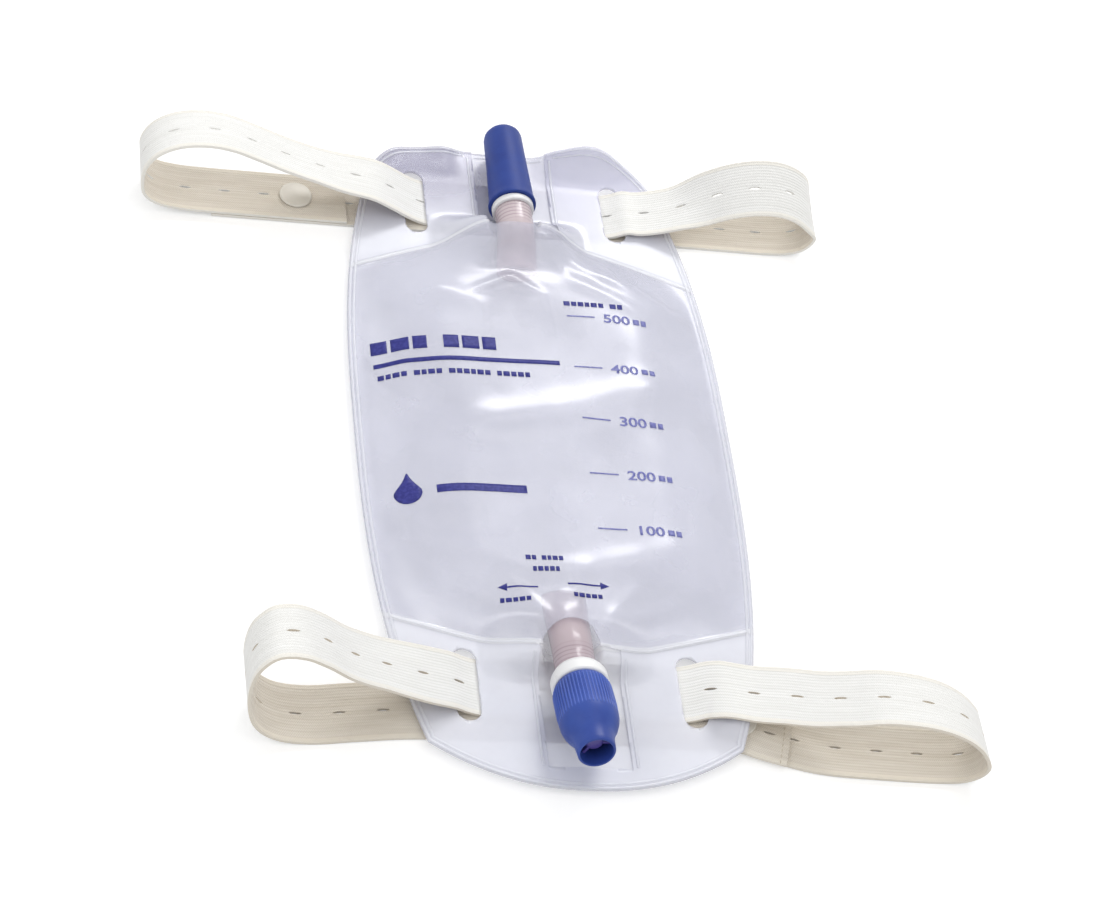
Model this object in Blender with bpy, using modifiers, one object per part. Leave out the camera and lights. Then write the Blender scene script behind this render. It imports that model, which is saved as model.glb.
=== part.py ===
"""Urine drainage leg bag: two welded films, capped inlet, twist valve and two buttonhole straps.

The bag lies on its back. +Y runs from the outlet to the inlet, +X to the right, +Z up.
The origin is on the flat underside of the back film, at the middle of its chamber.
"""
import math

import bmesh
import bpy
from mathutils import Euler, Matrix, Vector

# Driving dimensions in metres and degrees

# Clearance that separates pieces which touch on the real bag
GAP = 0.0003

# Films
FILM_THICKNESS = 0.0003
HALF_WIDTH = 0.066
HALF_WIDTH_TOP = 0.0525
HALF_WIDTH_BOTTOM = 0.051
WIDEST_Y = 0.025
TOP_EDGE_Y = 0.147
TOP_CORNER_DROP = 0.012
BOTTOM_EDGE_Y = -0.1255
BOTTOM_CORNER_RISE = 0.016
FLANGE_WIDTH = 0.004

# Chamber welds: the upper one slopes down from the inlet, the lower one rises from the outlet
INLET_WELD_Y = 0.105
OUTLET_WELD_Y = -0.076
WELD_NECK_HALF = 0.010
SHOULDER_DROP = 0.019
FUNNEL_RISE = 0.0135
PILLOW_HEIGHT = 0.0095
PILLOW_BACK_DEPTH = 0.0062
PILLOW_SIDE_RUN = 0.034
PILLOW_END_RUN = 0.030

# The films round each port tube, and the front film cut away round the ports
PORT_CLEARANCE = 0.0013
FIN_HALF = 0.009
LIFT_HALF = 0.030
WINDOW_HALF = 0.0135
WINDOW_NOTCH_HALF = 0.0095
WINDOW_NOTCH_DEPTH = 0.007
WINDOW_BORDER = 0.008

# Curled corners of the upper flap, and the low rise over the lower strap's button
RIGHT_CURL = 0.007
LEFT_CURL = 0.004
CURL_START_Y = 0.133

# Straps and the slots that they pass through
STRAP_WIDTH = 0.021
STRAP_THICKNESS = 0.0011
SLOT_INSET = 0.029
SLOT_WIDTH = 0.008
SLOT_END_CLEARANCE = 0.003
UPPER_SLOT_Y = 0.121
LOWER_SLOT_Y = -0.088
SLIT_PITCH = 0.014
SLIT_LENGTH = 0.0042
SLIT_WIDTH = 0.0008

# Strap buttons
BUTTON_RADIUS = 0.0058
BUTTON_THICKNESS = 0.0014
BUTTON_SHANK_RADIUS = 0.0012
STRAP_FREE_END = 0.030
UPPER_BUTTON_REACH = 0.043
LOWER_BUTTON_REACH = 0.0145

# Inlet: flexible tube, stepped connector and pull-off cap
INLET_X = -0.0035
INLET_Y = 0.112
INLET_TILT = 1.0
TUBE_RADIUS = 0.0066
TUBE_WALL = 0.0012
TUBE_STRAIGHT = 0.0075
TUBE_FLAT_HALF_WIDTH = 0.0074
TUBE_FLAT_HALF_HEIGHT = 0.0042
INLET_TUBE_END_Y = 0.084
CONNECTOR_BORE_RADIUS = 0.0028
CONNECTOR_BARB_RADIUS = 0.0050
CONNECTOR_BARB_LENGTH = 0.0065
CONNECTOR_FLANGE_RADIUS = 0.0075
CONNECTOR_FLANGE_THICKNESS = 0.0024
CONNECTOR_NOSE_RADIUS = 0.0054
CONNECTOR_NOSE_TIP_RADIUS = 0.0039
CONNECTOR_NOSE_LENGTH = 0.031
CONNECTOR_STEPS = 4
CAP_RIM_RADIUS = 0.0086
CAP_TIP_RADIUS = 0.0070
CAP_LENGTH = 0.0388
CAP_END_WALL = 0.0018
CAP_SKIRT = 0.0008
CAP_LIP = 0.0024
CAP_PULL = 0.034

# Sleeve that lets liquid into the chamber and not back
SLEEVE_FILM = 0.0003
SLEEVE_HALF_WIDTH = 0.012
SLEEVE_END_Y = 0.046
SLEEVE_OVERLAP = 0.008

# Outlet: flexible tube, fixed stem and twist barrel
OUTLET_X = -0.003
OUTLET_Y = -0.0947
OUTLET_TILT = 14.0
OUTLET_TUBE_END_Y = -0.056
COLLAR_RADIUS = 0.0092
COLLAR_THICKNESS = 0.0062
COLLAR_SHOULDER = 0.0022
COLLAR_SHOULDER_RADIUS = 0.0080
STEM_BORE_RADIUS = 0.0032
STEM_BARB_RADIUS = 0.0050
STEM_BARB_LENGTH = 0.0065
STEM_RADIUS = 0.0058
STEM_LENGTH = 0.015
BARREL_RADIUS = 0.0096
BARREL_LENGTH = 0.0288
BARREL_GRIP_END = 0.0150
NOZZLE_START = 0.0222
NOZZLE_RADIUS = 0.0060
NOZZLE_BORE_RADIUS = 0.0052
GRIP_RIBS = 32
RIB_DEPTH = 0.0005
SEAL_SECTION_RADIUS = 0.0007
SEAL_POSITION = 0.0105
PLUG_ENTRY = 0.002
WEB_COUNT = 3
WEB_THICKNESS = 0.0009
WEB_START = 0.0205
WEB_LENGTH = 0.003

# Worked out from the sizes above: the stack of layers from the surface upwards
SLOT_X = HALF_WIDTH - SLOT_INSET
UPPER_BUTTON_X = -SLOT_X - UPPER_BUTTON_REACH
LOWER_BUTTON_X = SLOT_X + LOWER_BUTTON_REACH
RUN_LOW_Z = STRAP_THICKNESS / 2
RUN_HIGH_Z = RUN_LOW_Z + STRAP_THICKNESS + GAP
BACK_FILM_Z = 2 * STRAP_THICKNESS + 2 * GAP
FRONT_FILM_Z = BACK_FILM_Z + FILM_THICKNESS + GAP
OVER_FLAP_Z = FRONT_FILM_Z + FILM_THICKNESS + GAP + STRAP_THICKNESS / 2
TOP_CORNER_Y = TOP_EDGE_Y - TOP_CORNER_DROP
BOTTOM_CORNER_Y = BOTTOM_EDGE_Y + BOTTOM_CORNER_RISE
UPPER_SEAM_SIDE_Y = INLET_WELD_Y - SHOULDER_DROP
LOWER_SEAM_SIDE_Y = OUTLET_WELD_Y + FUNNEL_RISE
PORT_FLOOR_Z = BACK_FILM_Z + FILM_THICKNESS + GAP
INLET_Z = PORT_FLOOR_Z + CAP_RIM_RADIUS + CAP_PULL * math.sin(math.radians(INLET_TILT))
OUTLET_Z = (PORT_FLOOR_Z + COLLAR_RADIUS * math.cos(math.radians(OUTLET_TILT))
            + (COLLAR_THICKNESS - COLLAR_SHOULDER) * math.sin(math.radians(OUTLET_TILT)))
SLOT_HALF_LENGTH = STRAP_WIDTH / 2 + SLOT_END_CLEARANCE
BARREL_BORE_RADIUS = STEM_RADIUS + GAP

# Mesh fineness
FILM_COLUMNS = 16
ROWS_BOTTOM_FLAP = 6
ROWS_CHAMBER = 16
ROWS_TOP_FLAP = 6
TURN_STEPS = 24
TUBE_STEPS = 16
STRAP_ROW_TURN = math.radians(12)

for old in list(bpy.data.objects):
    bpy.data.objects.remove(old, do_unlink=True)

parts = bpy.data.collections.new("urine_drainage_bag")
cutters = bpy.data.collections.new("cutters")
bpy.context.scene.collection.children.link(parts)
bpy.context.scene.collection.children.link(cutters)


def plain_material(name, colour, roughness, alpha=1.0):
    """A Principled material with one colour."""
    material = bpy.data.materials.new(name)
    material.use_nodes = True
    shader = material.node_tree.nodes["Principled BSDF"]
    shader.inputs["Base Color"].default_value = (*colour, 1.0)
    shader.inputs["Roughness"].default_value = roughness
    shader.inputs["Metallic"].default_value = 0.0
    shader.inputs["Alpha"].default_value = alpha
    material.diffuse_color = (*colour, alpha)
    return material


def add_part(name, mesh, material, location=(0, 0, 0), rotation=(0, 0, 0)):
    """Put a mesh in the parts collection as a named object."""
    mesh.materials.append(material)
    part = bpy.data.objects.new(name, mesh)
    part.location = location
    part.rotation_euler = rotation
    parts.objects.link(part)
    return part


def add_cutter(name, bm):
    """Put a closed shape in the cutters collection, hidden from renders."""
    mesh = bpy.data.meshes.new(name)
    bm.to_mesh(mesh)
    bm.free()
    cutter = bpy.data.objects.new(name, mesh)
    cutter.display_type = "WIRE"
    cutter.hide_render = True
    cutters.objects.link(cutter)
    return cutter


def boolean(part, cutter, operation):
    """Cut or join one object with another."""
    modifier = part.modifiers.new(cutter.name, "BOOLEAN")
    modifier.operation = operation
    modifier.solver = "EXACT"
    modifier.object = cutter


def smooth_step(start, end, value):
    """0 before start, 1 after end, and a smooth ramp between."""
    t = min(max((value - start) / (end - start), 0.0), 1.0)
    return t * t * (3 - 2 * t)


def bell(distance, spread):
    """A bell curve of height 1."""
    return math.exp(-(distance / spread) ** 2)


def mix(a, b, t):
    """Straight blend from a to b."""
    return a + (b - a) * t


# Film surface

def half_width(y):
    """Half the bag's width at a height y: widest a little above the middle."""
    if y > WIDEST_Y:
        t = (y - WIDEST_Y) / (TOP_CORNER_Y - WIDEST_Y)
        return HALF_WIDTH - (HALF_WIDTH - HALF_WIDTH_TOP) * t ** 2.5
    t = (WIDEST_Y - y) / (WIDEST_Y - BOTTOM_CORNER_Y)
    return HALF_WIDTH - (HALF_WIDTH - HALF_WIDTH_BOTTOM) * t ** 3


def upper_seam(x):
    """The weld that closes the chamber on the inlet's side."""
    run = half_width(UPPER_SEAM_SIDE_Y) - WELD_NECK_HALF
    t = max(abs(x) - WELD_NECK_HALF, 0.0) / run
    return INLET_WELD_Y - SHOULDER_DROP * t ** 1.25


def lower_seam(x):
    """The weld that closes the chamber on the outlet's side."""
    run = half_width(LOWER_SEAM_SIDE_Y) - WELD_NECK_HALF
    t = max(abs(x) - WELD_NECK_HALF, 0.0) / run
    return OUTLET_WELD_Y + FUNNEL_RISE * t ** 1.1


def film_point(u, row):
    """Place in the plane of the film for a column u from -1 to 1 and a row number."""
    bottom_y = BOTTOM_EDGE_Y + BOTTOM_CORNER_RISE * abs(u) ** 2.2
    top_y = TOP_EDGE_Y - TOP_CORNER_DROP * abs(u) ** 7
    low_y = lower_seam(u * half_width(LOWER_SEAM_SIDE_Y))
    high_y = upper_seam(u * half_width(UPPER_SEAM_SIDE_Y))
    if row <= ROWS_BOTTOM_FLAP:
        t = row / ROWS_BOTTOM_FLAP
        side_y = mix(BOTTOM_CORNER_Y, LOWER_SEAM_SIDE_Y, t)
        y = mix(bottom_y, low_y, t)
    elif row <= ROWS_BOTTOM_FLAP + ROWS_CHAMBER:
        t = (row - ROWS_BOTTOM_FLAP) / ROWS_CHAMBER
        t -= 0.08 * math.sin(2 * math.pi * t)
        side_y = mix(LOWER_SEAM_SIDE_Y, UPPER_SEAM_SIDE_Y, t)
        y = mix(low_y, high_y, t)
    else:
        t = (row - ROWS_BOTTOM_FLAP - ROWS_CHAMBER) / ROWS_TOP_FLAP
        side_y = mix(UPPER_SEAM_SIDE_Y, TOP_CORNER_Y, t)
        y = mix(high_y, top_y, t)
    return u * half_width(side_y), y


def pillow(x, y):
    """How full the chamber is at a point: 0 on the welds and 1 in the middle."""
    reaches = (
        (upper_seam(x) - y) / PILLOW_END_RUN,
        (y - lower_seam(x)) / PILLOW_END_RUN,
        (half_width(y) - FLANGE_WIDTH - abs(x)) / PILLOW_SIDE_RUN,
    )
    fullness = 1.0
    for reach in reaches:
        fullness *= math.sin(math.pi / 2 * min(max(reach, 0.0), 1.0))
    return fullness


class Port:
    """A tube between the films; outward distances grow from the chamber to the fitting."""

    def __init__(self, side, x, weld, inner_end, joint, joint_z, slope, fitting_radius):
        self.side = side
        self.x = x
        self.weld = weld
        self.inner_end = inner_end
        self.joint = joint
        self.joint_z = joint_z
        self.slope = slope
        self.fitting_radius = fitting_radius

    def section(self, outward):
        """Centre height, half width and half height of the tube."""
        straight_from = self.joint - TUBE_STRAIGHT
        ease = smooth_step(self.inner_end, straight_from, outward) ** 1.3
        axis_z = self.joint_z + self.slope * (outward - self.joint)
        half_wide = mix(TUBE_FLAT_HALF_WIDTH, TUBE_RADIUS, ease)
        half_high = mix(TUBE_FLAT_HALF_HEIGHT, TUBE_RADIUS, ease)
        lowest_z = PORT_FLOOR_Z + GAP + half_high
        return max(mix(lowest_z, axis_z, ease), lowest_z), half_wide, half_high

    def lift(self, x, y):
        """Rise of both films to the middle of the tube, where they are welded to it."""
        outward = self.side * y
        along = smooth_step(self.weld - 0.025, self.weld - 0.007, outward)
        along *= 1 - smooth_step(self.weld + 0.001, self.weld + 0.008, outward)
        across = 1 - smooth_step(FIN_HALF, LIFT_HALF, abs(x - self.x))
        return (self.section(outward)[0] - FRONT_FILM_Z) * along * across

    def round_tube(self, x, outward, clearance):
        """Half the height that the tube takes up at x, with a clearance."""
        half_wide, half_high = self.section(outward)[1:]
        share = 1 - ((x - self.x) / (half_wide + clearance)) ** 2
        return (half_high + clearance) * math.sqrt(max(share, 0.0))

    def above(self, x, y):
        """Lowest place that the front film can have over the tube."""
        outward = self.side * y
        if not self.inner_end - 0.004 < outward < self.weld + 0.004:
            return 0.0
        half = self.round_tube(x, outward, PORT_CLEARANCE)
        return self.section(outward)[0] + half if half > 0.0 else 0.0

    def below(self, x, y):
        """Highest place that the back film can have under the tube or its fitting."""
        outward = self.side * y
        if outward < self.inner_end - 0.004:
            return math.inf
        fitting = self.fitting_radius - TUBE_RADIUS + 2 * GAP
        near_fitting = smooth_step(self.weld - 0.005, self.weld + 0.003, outward)
        half = self.round_tube(x, outward, mix(PORT_CLEARANCE, fitting, near_fitting))
        return self.section(outward)[0] - half - FILM_THICKNESS if half > 0.0 else math.inf


INLET_BACK = CONNECTOR_FLANGE_THICKNESS + GAP
OUTLET_BACK = COLLAR_THICKNESS + GAP
INLET_ANGLE = math.radians(INLET_TILT)
OUTLET_ANGLE = math.radians(OUTLET_TILT)
INLET = Port(1, INLET_X, INLET_WELD_Y, INLET_TUBE_END_Y,
             INLET_Y - INLET_BACK * math.cos(INLET_ANGLE),
             INLET_Z + INLET_BACK * math.sin(INLET_ANGLE), -math.tan(INLET_ANGLE), CAP_RIM_RADIUS)
OUTLET = Port(-1, OUTLET_X, -OUTLET_WELD_Y, -OUTLET_TUBE_END_Y,
              -OUTLET_Y - OUTLET_BACK * math.cos(OUTLET_ANGLE),
              OUTLET_Z - OUTLET_BACK * math.sin(OUTLET_ANGLE), math.tan(OUTLET_ANGLE), COLLAR_RADIUS)


def flap_wave(x, y):
    """Curled corners of the upper flap, and the rise over the hidden button."""
    curl = max(y - CURL_START_Y, 0.0) / (TOP_EDGE_Y - CURL_START_Y)
    wave = RIGHT_CURL * bell(x - 0.031, 0.013) + LEFT_CURL * bell(x + 0.051, 0.009)
    wave -= 0.0015 * bell(x + 0.035, 0.008)
    button_rise = 1.7 * (BUTTON_THICKNESS + GAP)
    button_y = strap_run_y(LOWER_BUTTON_X)
    hidden_button = bell(x - LOWER_BUTTON_X, 0.008) * bell(y - button_y, 0.008)
    return max(wave, 0.0) * curl ** 2 + button_rise * hidden_button


def weld_plane(x, y):
    """Rise of both films above the level at which the flaps lie."""
    return flap_wave(x, y) + INLET.lift(x, y) + OUTLET.lift(x, y)


def slope_room(x, y):
    """More room between the films where they climb steeply."""
    reach = 0.003
    across = (weld_plane(x + reach, y) - weld_plane(x - reach, y)) / (2 * reach)
    along = (weld_plane(x, y + reach) - weld_plane(x, y - reach)) / (2 * reach)
    steep = math.sqrt(1 + across ** 2 + along ** 2)
    return 2 * (FRONT_FILM_Z - BACK_FILM_Z) * (steep - 1)


def front_height(x, y):
    """Underside of the front film."""
    height = FRONT_FILM_Z + weld_plane(x, y) + PILLOW_HEIGHT * pillow(x, y)
    return max(height, INLET.above(x, y), OUTLET.above(x, y))


def back_height(x, y):
    """Underside of the back film: flat where the chamber rests."""
    height = BACK_FILM_Z + weld_plane(x, y) - slope_room(x, y)
    height = max(min(height, INLET.below(x, y), OUTLET.below(x, y)), BACK_FILM_Z)
    return max(height - PILLOW_BACK_DEPTH * pillow(x, y), 0.0)


def film(name, height, material):
    """A sheet laid on a height function, thickened upwards."""
    rows = ROWS_BOTTOM_FLAP + ROWS_CHAMBER + ROWS_TOP_FLAP
    bm = bmesh.new()
    bmesh.ops.create_grid(bm, x_segments=FILM_COLUMNS, y_segments=rows, size=1.0)
    for vertex in bm.verts:
        column = vertex.co.x
        u = column - 0.09 * math.sin(2 * math.pi * column)
        row = round((vertex.co.y + 1) / 2 * rows)
        x, y = film_point(u, row)
        vertex.co = (x, y, height(x, y))
    bmesh.ops.triangulate(bm, faces=bm.faces, quad_method="FIXED")
    mesh = bpy.data.meshes.new(name)
    bm.to_mesh(mesh)
    bm.free()
    mesh.shade_smooth()
    sheet = add_part(name, mesh, material)
    wall = sheet.modifiers.new("film_wall", "SOLIDIFY")
    wall.thickness = FILM_THICKNESS
    wall.offset = 1.0
    wall.use_even_offset = True
    return sheet


def slot_cutter():
    """Four long round-ended slots, one in each corner of the flaps."""
    bm = bmesh.new()
    straight = SLOT_HALF_LENGTH - SLOT_WIDTH / 2
    for slot_y in (UPPER_SLOT_Y, LOWER_SLOT_Y):
        for side in (-1, 1):
            made = bmesh.ops.create_cone(
                bm, cap_ends=True, segments=16, radius1=SLOT_WIDTH / 2, radius2=SLOT_WIDTH / 2,
                depth=4 * FRONT_FILM_Z, matrix=Matrix.Rotation(math.pi / 16, 4, "Z"))
            for vertex in made["verts"]:
                vertex.co.y += math.copysign(straight, vertex.co.y)
                vertex.co += Vector((side * SLOT_X, slot_y, FRONT_FILM_Z))
    return add_cutter("strap_slots", bm)


def window_cutter():
    """Where the front film is cut away: a window at the outlet, an open notch at the inlet.

    The edge nearest the chamber runs back over the tube in a round bite.
    """
    openings = (
        (1, INLET_X, INLET_WELD_Y, TOP_EDGE_Y + WINDOW_BORDER),
        (-1, OUTLET_X, OUTLET_WELD_Y, BOTTOM_EDGE_Y + WINDOW_BORDER),
    )
    bm = bmesh.new()
    for side, port_x, weld_y, far_y in openings:
        outline = [(WINDOW_HALF, far_y), (-WINDOW_HALF, far_y), (-WINDOW_HALF, weld_y)]
        for step in range(13):
            angle = math.pi * step / 12
            bite = side * WINDOW_NOTCH_DEPTH * math.sin(angle)
            outline.append((port_x - WINDOW_NOTCH_HALF * math.cos(angle), weld_y - bite))
        outline.append((WINDOW_HALF, weld_y))
        corners = [bm.verts.new((x, y, FRONT_FILM_Z - GAP / 2)) for x, y in outline]
        face = bm.faces.new(corners)
        raised = bmesh.ops.extrude_face_region(bm, geom=[face])["geom"]
        for item in raised:
            if isinstance(item, bmesh.types.BMVert):
                item.co.z = INLET_Z + 2 * TUBE_RADIUS
    bmesh.ops.recalc_face_normals(bm, faces=bm.faces)
    return add_cutter("port_windows", bm)


# Straps

def curve_through(points, step):
    """Evenly spaced points on a centripetal spline through the given ones."""
    ends = [2 * points[0] - points[1]] + points + [2 * points[-1] - points[-2]]
    dense = []
    for p0, p1, p2, p3 in zip(ends, ends[1:], ends[2:], ends[3:]):
        t1 = (p1 - p0).length ** 0.5
        t2 = t1 + (p2 - p1).length ** 0.5
        t3 = t2 + (p3 - p2).length ** 0.5
        for i in range(24):
            t = mix(t1, t2, i / 24)
            a1 = p0 * ((t1 - t) / t1) + p1 * (t / t1)
            a2 = p1 * ((t2 - t) / (t2 - t1)) + p2 * ((t - t1) / (t2 - t1))
            a3 = p2 * ((t3 - t) / (t3 - t2)) + p3 * ((t - t2) / (t3 - t2))
            b1 = a1 * ((t2 - t) / t2) + a2 * (t / t2)
            b2 = a2 * ((t3 - t) / (t3 - t1)) + a3 * ((t - t1) / (t3 - t1))
            dense.append(b1 * ((t2 - t) / (t2 - t1)) + b2 * ((t - t1) / (t2 - t1)))
    dense.append(points[-1].copy())
    spaced = [dense[0]]
    for point in dense[1:]:
        if (point - spaced[-1]).length >= step:
            spaced.append(point)
    return spaced


def strap_run_y(x):
    """Middle of the lower strap where it closes under the bag."""
    return LOWER_SLOT_Y - 0.008 - 0.0015 * smooth_step(0.0, 0.055, x)


def loop_points(side, slot_y, over, under):
    """Loop outside one slot: outwards over the flap, then back below it.

    Both lists hold outward distance from the slot, shift along Y, and height above
    the layer that the strap leaves.
    """
    points = []
    for outward, shift, rise in over:
        points.append(Vector((side * (SLOT_X + outward), slot_y + shift, OVER_FLAP_Z + rise)))
    for outward, shift, z in under:
        points.append(Vector((side * (SLOT_X + outward), slot_y + shift, z)))
    return points


def slot_points(side, slot_y):
    """The short climb through a slot, from under the bag to above the flap."""
    half = SLOT_WIDTH / 2
    middle = (RUN_HIGH_Z + OVER_FLAP_Z) / 2
    return [
        Vector((side * (SLOT_X - 3 * half), slot_y, RUN_HIGH_Z)),
        Vector((side * (SLOT_X - half), slot_y, RUN_HIGH_Z - GAP / 2)),
        Vector((side * (SLOT_X + 0.1 * half), slot_y, middle)),
        Vector((side * (SLOT_X + 1.1 * half), slot_y, OVER_FLAP_Z + 0.0008)),
    ]


UPPER_LEFT_OVER = [
    (0.0085, 0.0, 0.0032), (0.016, 0.0, 0.0068), (0.029, -0.0005, 0.0098), (0.039, -0.001, 0.0132),
    (0.050, -0.0015, 0.0175), (0.061, -0.002, 0.0225), (0.070, -0.0022, 0.026),
    (0.079, -0.0024, 0.0272), (0.088, -0.0025, 0.0255), (0.095, -0.0025, 0.0205),
    (0.0985, -0.0025, 0.013),
]
UPPER_LEFT_UNDER = [
    (0.0975, -0.0025, 0.0085), (0.093, -0.0025, 0.0043), (0.085, -0.0025, 0.0024),
    (0.074, -0.0025, RUN_HIGH_Z), (0.055, -0.0025, RUN_HIGH_Z), (0.040, -0.0025, RUN_HIGH_Z),
    (0.025, -0.0025, RUN_HIGH_Z),
]
UPPER_RIGHT_OVER = [
    (0.009, 0.0, 0.0007), (0.021, 0.0, 0.0045), (0.032, 0.0, 0.0115), (0.041, 0.0, 0.0165),
    (0.050, 0.0002, 0.019), (0.059, 0.0004, 0.019), (0.067, 0.0005, 0.016), (0.073, 0.0005, 0.0105),
]
UPPER_RIGHT_UNDER = [
    (0.075, 0.0005, 0.009), (0.0725, 0.0004, 0.004), (0.067, 0.0002, 0.0014),
    (0.058, 0.0, RUN_LOW_Z), (0.045, 0.0, RUN_LOW_Z),
]
LOWER_LEFT_OVER = [
    (0.014, -0.001, 0.005), (0.029, -0.0025, 0.012), (0.041, -0.005, 0.0205), (0.051, -0.007, 0.030),
    (0.059, -0.0085, 0.0355), (0.066, -0.0095, 0.036), (0.0705, -0.010, 0.0305),
    (0.072, -0.010, 0.0215),
]
LOWER_LEFT_UNDER = [
    (0.071, -0.0105, 0.015), (0.067, -0.011, 0.0065), (0.061, -0.0115, 0.0022),
    (0.051, -0.0115, RUN_LOW_Z), (0.036, -0.010, RUN_LOW_Z), (0.020, -0.0085, RUN_LOW_Z),
]
LOWER_RIGHT_OVER = [
    (0.009, -0.001, 0.0030), (0.020, -0.003, 0.0040), (0.029, -0.005, 0.0065),
    (0.038, -0.008, 0.010), (0.047, -0.0105, 0.0145), (0.056, -0.013, 0.0195),
    (0.065, -0.015, 0.0215), (0.074, -0.0165, 0.021), (0.083, -0.0178, 0.0175),
    (0.090, -0.0185, 0.0115),
]
LOWER_RIGHT_UNDER = [
    (0.094, -0.0187, 0.0095), (0.093, -0.0187, 0.005), (0.089, -0.0187, 0.0018),
    (0.081, -0.0186, RUN_LOW_Z), (0.060, -0.018, RUN_LOW_Z), (0.040, -0.0165, RUN_LOW_Z),
    (0.026, -0.0128, RUN_LOW_Z),
]


def upper_strap_route():
    """Free end under the left loop, right loop, behind the bag, left loop, buttoned end."""
    aside = UPPER_LEFT_OVER[-1][1]
    free_end = UPPER_BUTTON_X - STRAP_FREE_END
    far_end = SLOT_X + UPPER_RIGHT_UNDER[-1][0] - 0.017
    route = [Vector((free_end, UPPER_SLOT_Y + aside, RUN_LOW_Z))]
    for step in range(6):
        x = mix(UPPER_BUTTON_X, far_end, step / 5)
        across = smooth_step(-HALF_WIDTH, HALF_WIDTH, x)
        route.append(Vector((x, UPPER_SLOT_Y + aside * (1 - across), RUN_LOW_Z)))
    route += reversed(loop_points(1, UPPER_SLOT_Y, UPPER_RIGHT_OVER, UPPER_RIGHT_UNDER))
    route += reversed(slot_points(1, UPPER_SLOT_Y))
    route.append(Vector((0.0, UPPER_SLOT_Y, RUN_HIGH_Z)))
    route += slot_points(-1, UPPER_SLOT_Y)
    route += loop_points(-1, UPPER_SLOT_Y, UPPER_LEFT_OVER, UPPER_LEFT_UNDER)
    return route


def lower_strap_route():
    """Hemmed end on the right, left loop, behind the bag, right loop, end below the hem."""
    hem_x = SLOT_X + 0.031
    route = [Vector((hem_x, LOWER_SLOT_Y - 0.0155, RUN_HIGH_Z))]
    route.append(Vector((hem_x - 0.010, LOWER_SLOT_Y - 0.0125, RUN_HIGH_Z)))
    for x in (LOWER_BUTTON_X, SLOT_X + 0.006):
        route.append(Vector((x, strap_run_y(x), RUN_HIGH_Z)))
    for x in (SLOT_X - 0.003, SLOT_X - 0.010, 0.000, -0.020):
        route.append(Vector((x, strap_run_y(x), RUN_LOW_Z)))
    route += reversed(loop_points(-1, LOWER_SLOT_Y, LOWER_LEFT_OVER, LOWER_LEFT_UNDER))
    route += reversed(slot_points(-1, LOWER_SLOT_Y))
    route.append(Vector((0.0, LOWER_SLOT_Y, RUN_HIGH_Z)))
    route += slot_points(1, LOWER_SLOT_Y)
    route += loop_points(1, LOWER_SLOT_Y, LOWER_RIGHT_OVER, LOWER_RIGHT_UNDER)
    for x in (LOWER_BUTTON_X, SLOT_X + 0.0068):
        route.append(Vector((x, strap_run_y(x), RUN_LOW_Z)))
    return route


def point_at(points, lengths, distance):
    """Place and direction at a distance along a route."""
    i = 0
    while i < len(points) - 2 and lengths[i + 1] < distance:
        i += 1
    t = (distance - lengths[i]) / (lengths[i + 1] - lengths[i])
    ahead = points[min(i + 2, len(points) - 1)] - points[max(i - 1, 0)]
    return points[i].lerp(points[i + 1], t), ahead.normalized()


def rows_between(points, lengths, start, end):
    """Extra rows where the strap bends between two slits."""
    turning = 0.0
    for i in range(1, len(points) - 1):
        if start < lengths[i] < end:
            turning += (points[i] - points[i - 1]).angle(points[i + 1] - points[i])
    count = min(round(turning / STRAP_ROW_TURN), 4)
    return [(mix(start, end, (k + 1) / (count + 1)), SLIT_WIDTH / 2, False) for k in range(count)]


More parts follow.
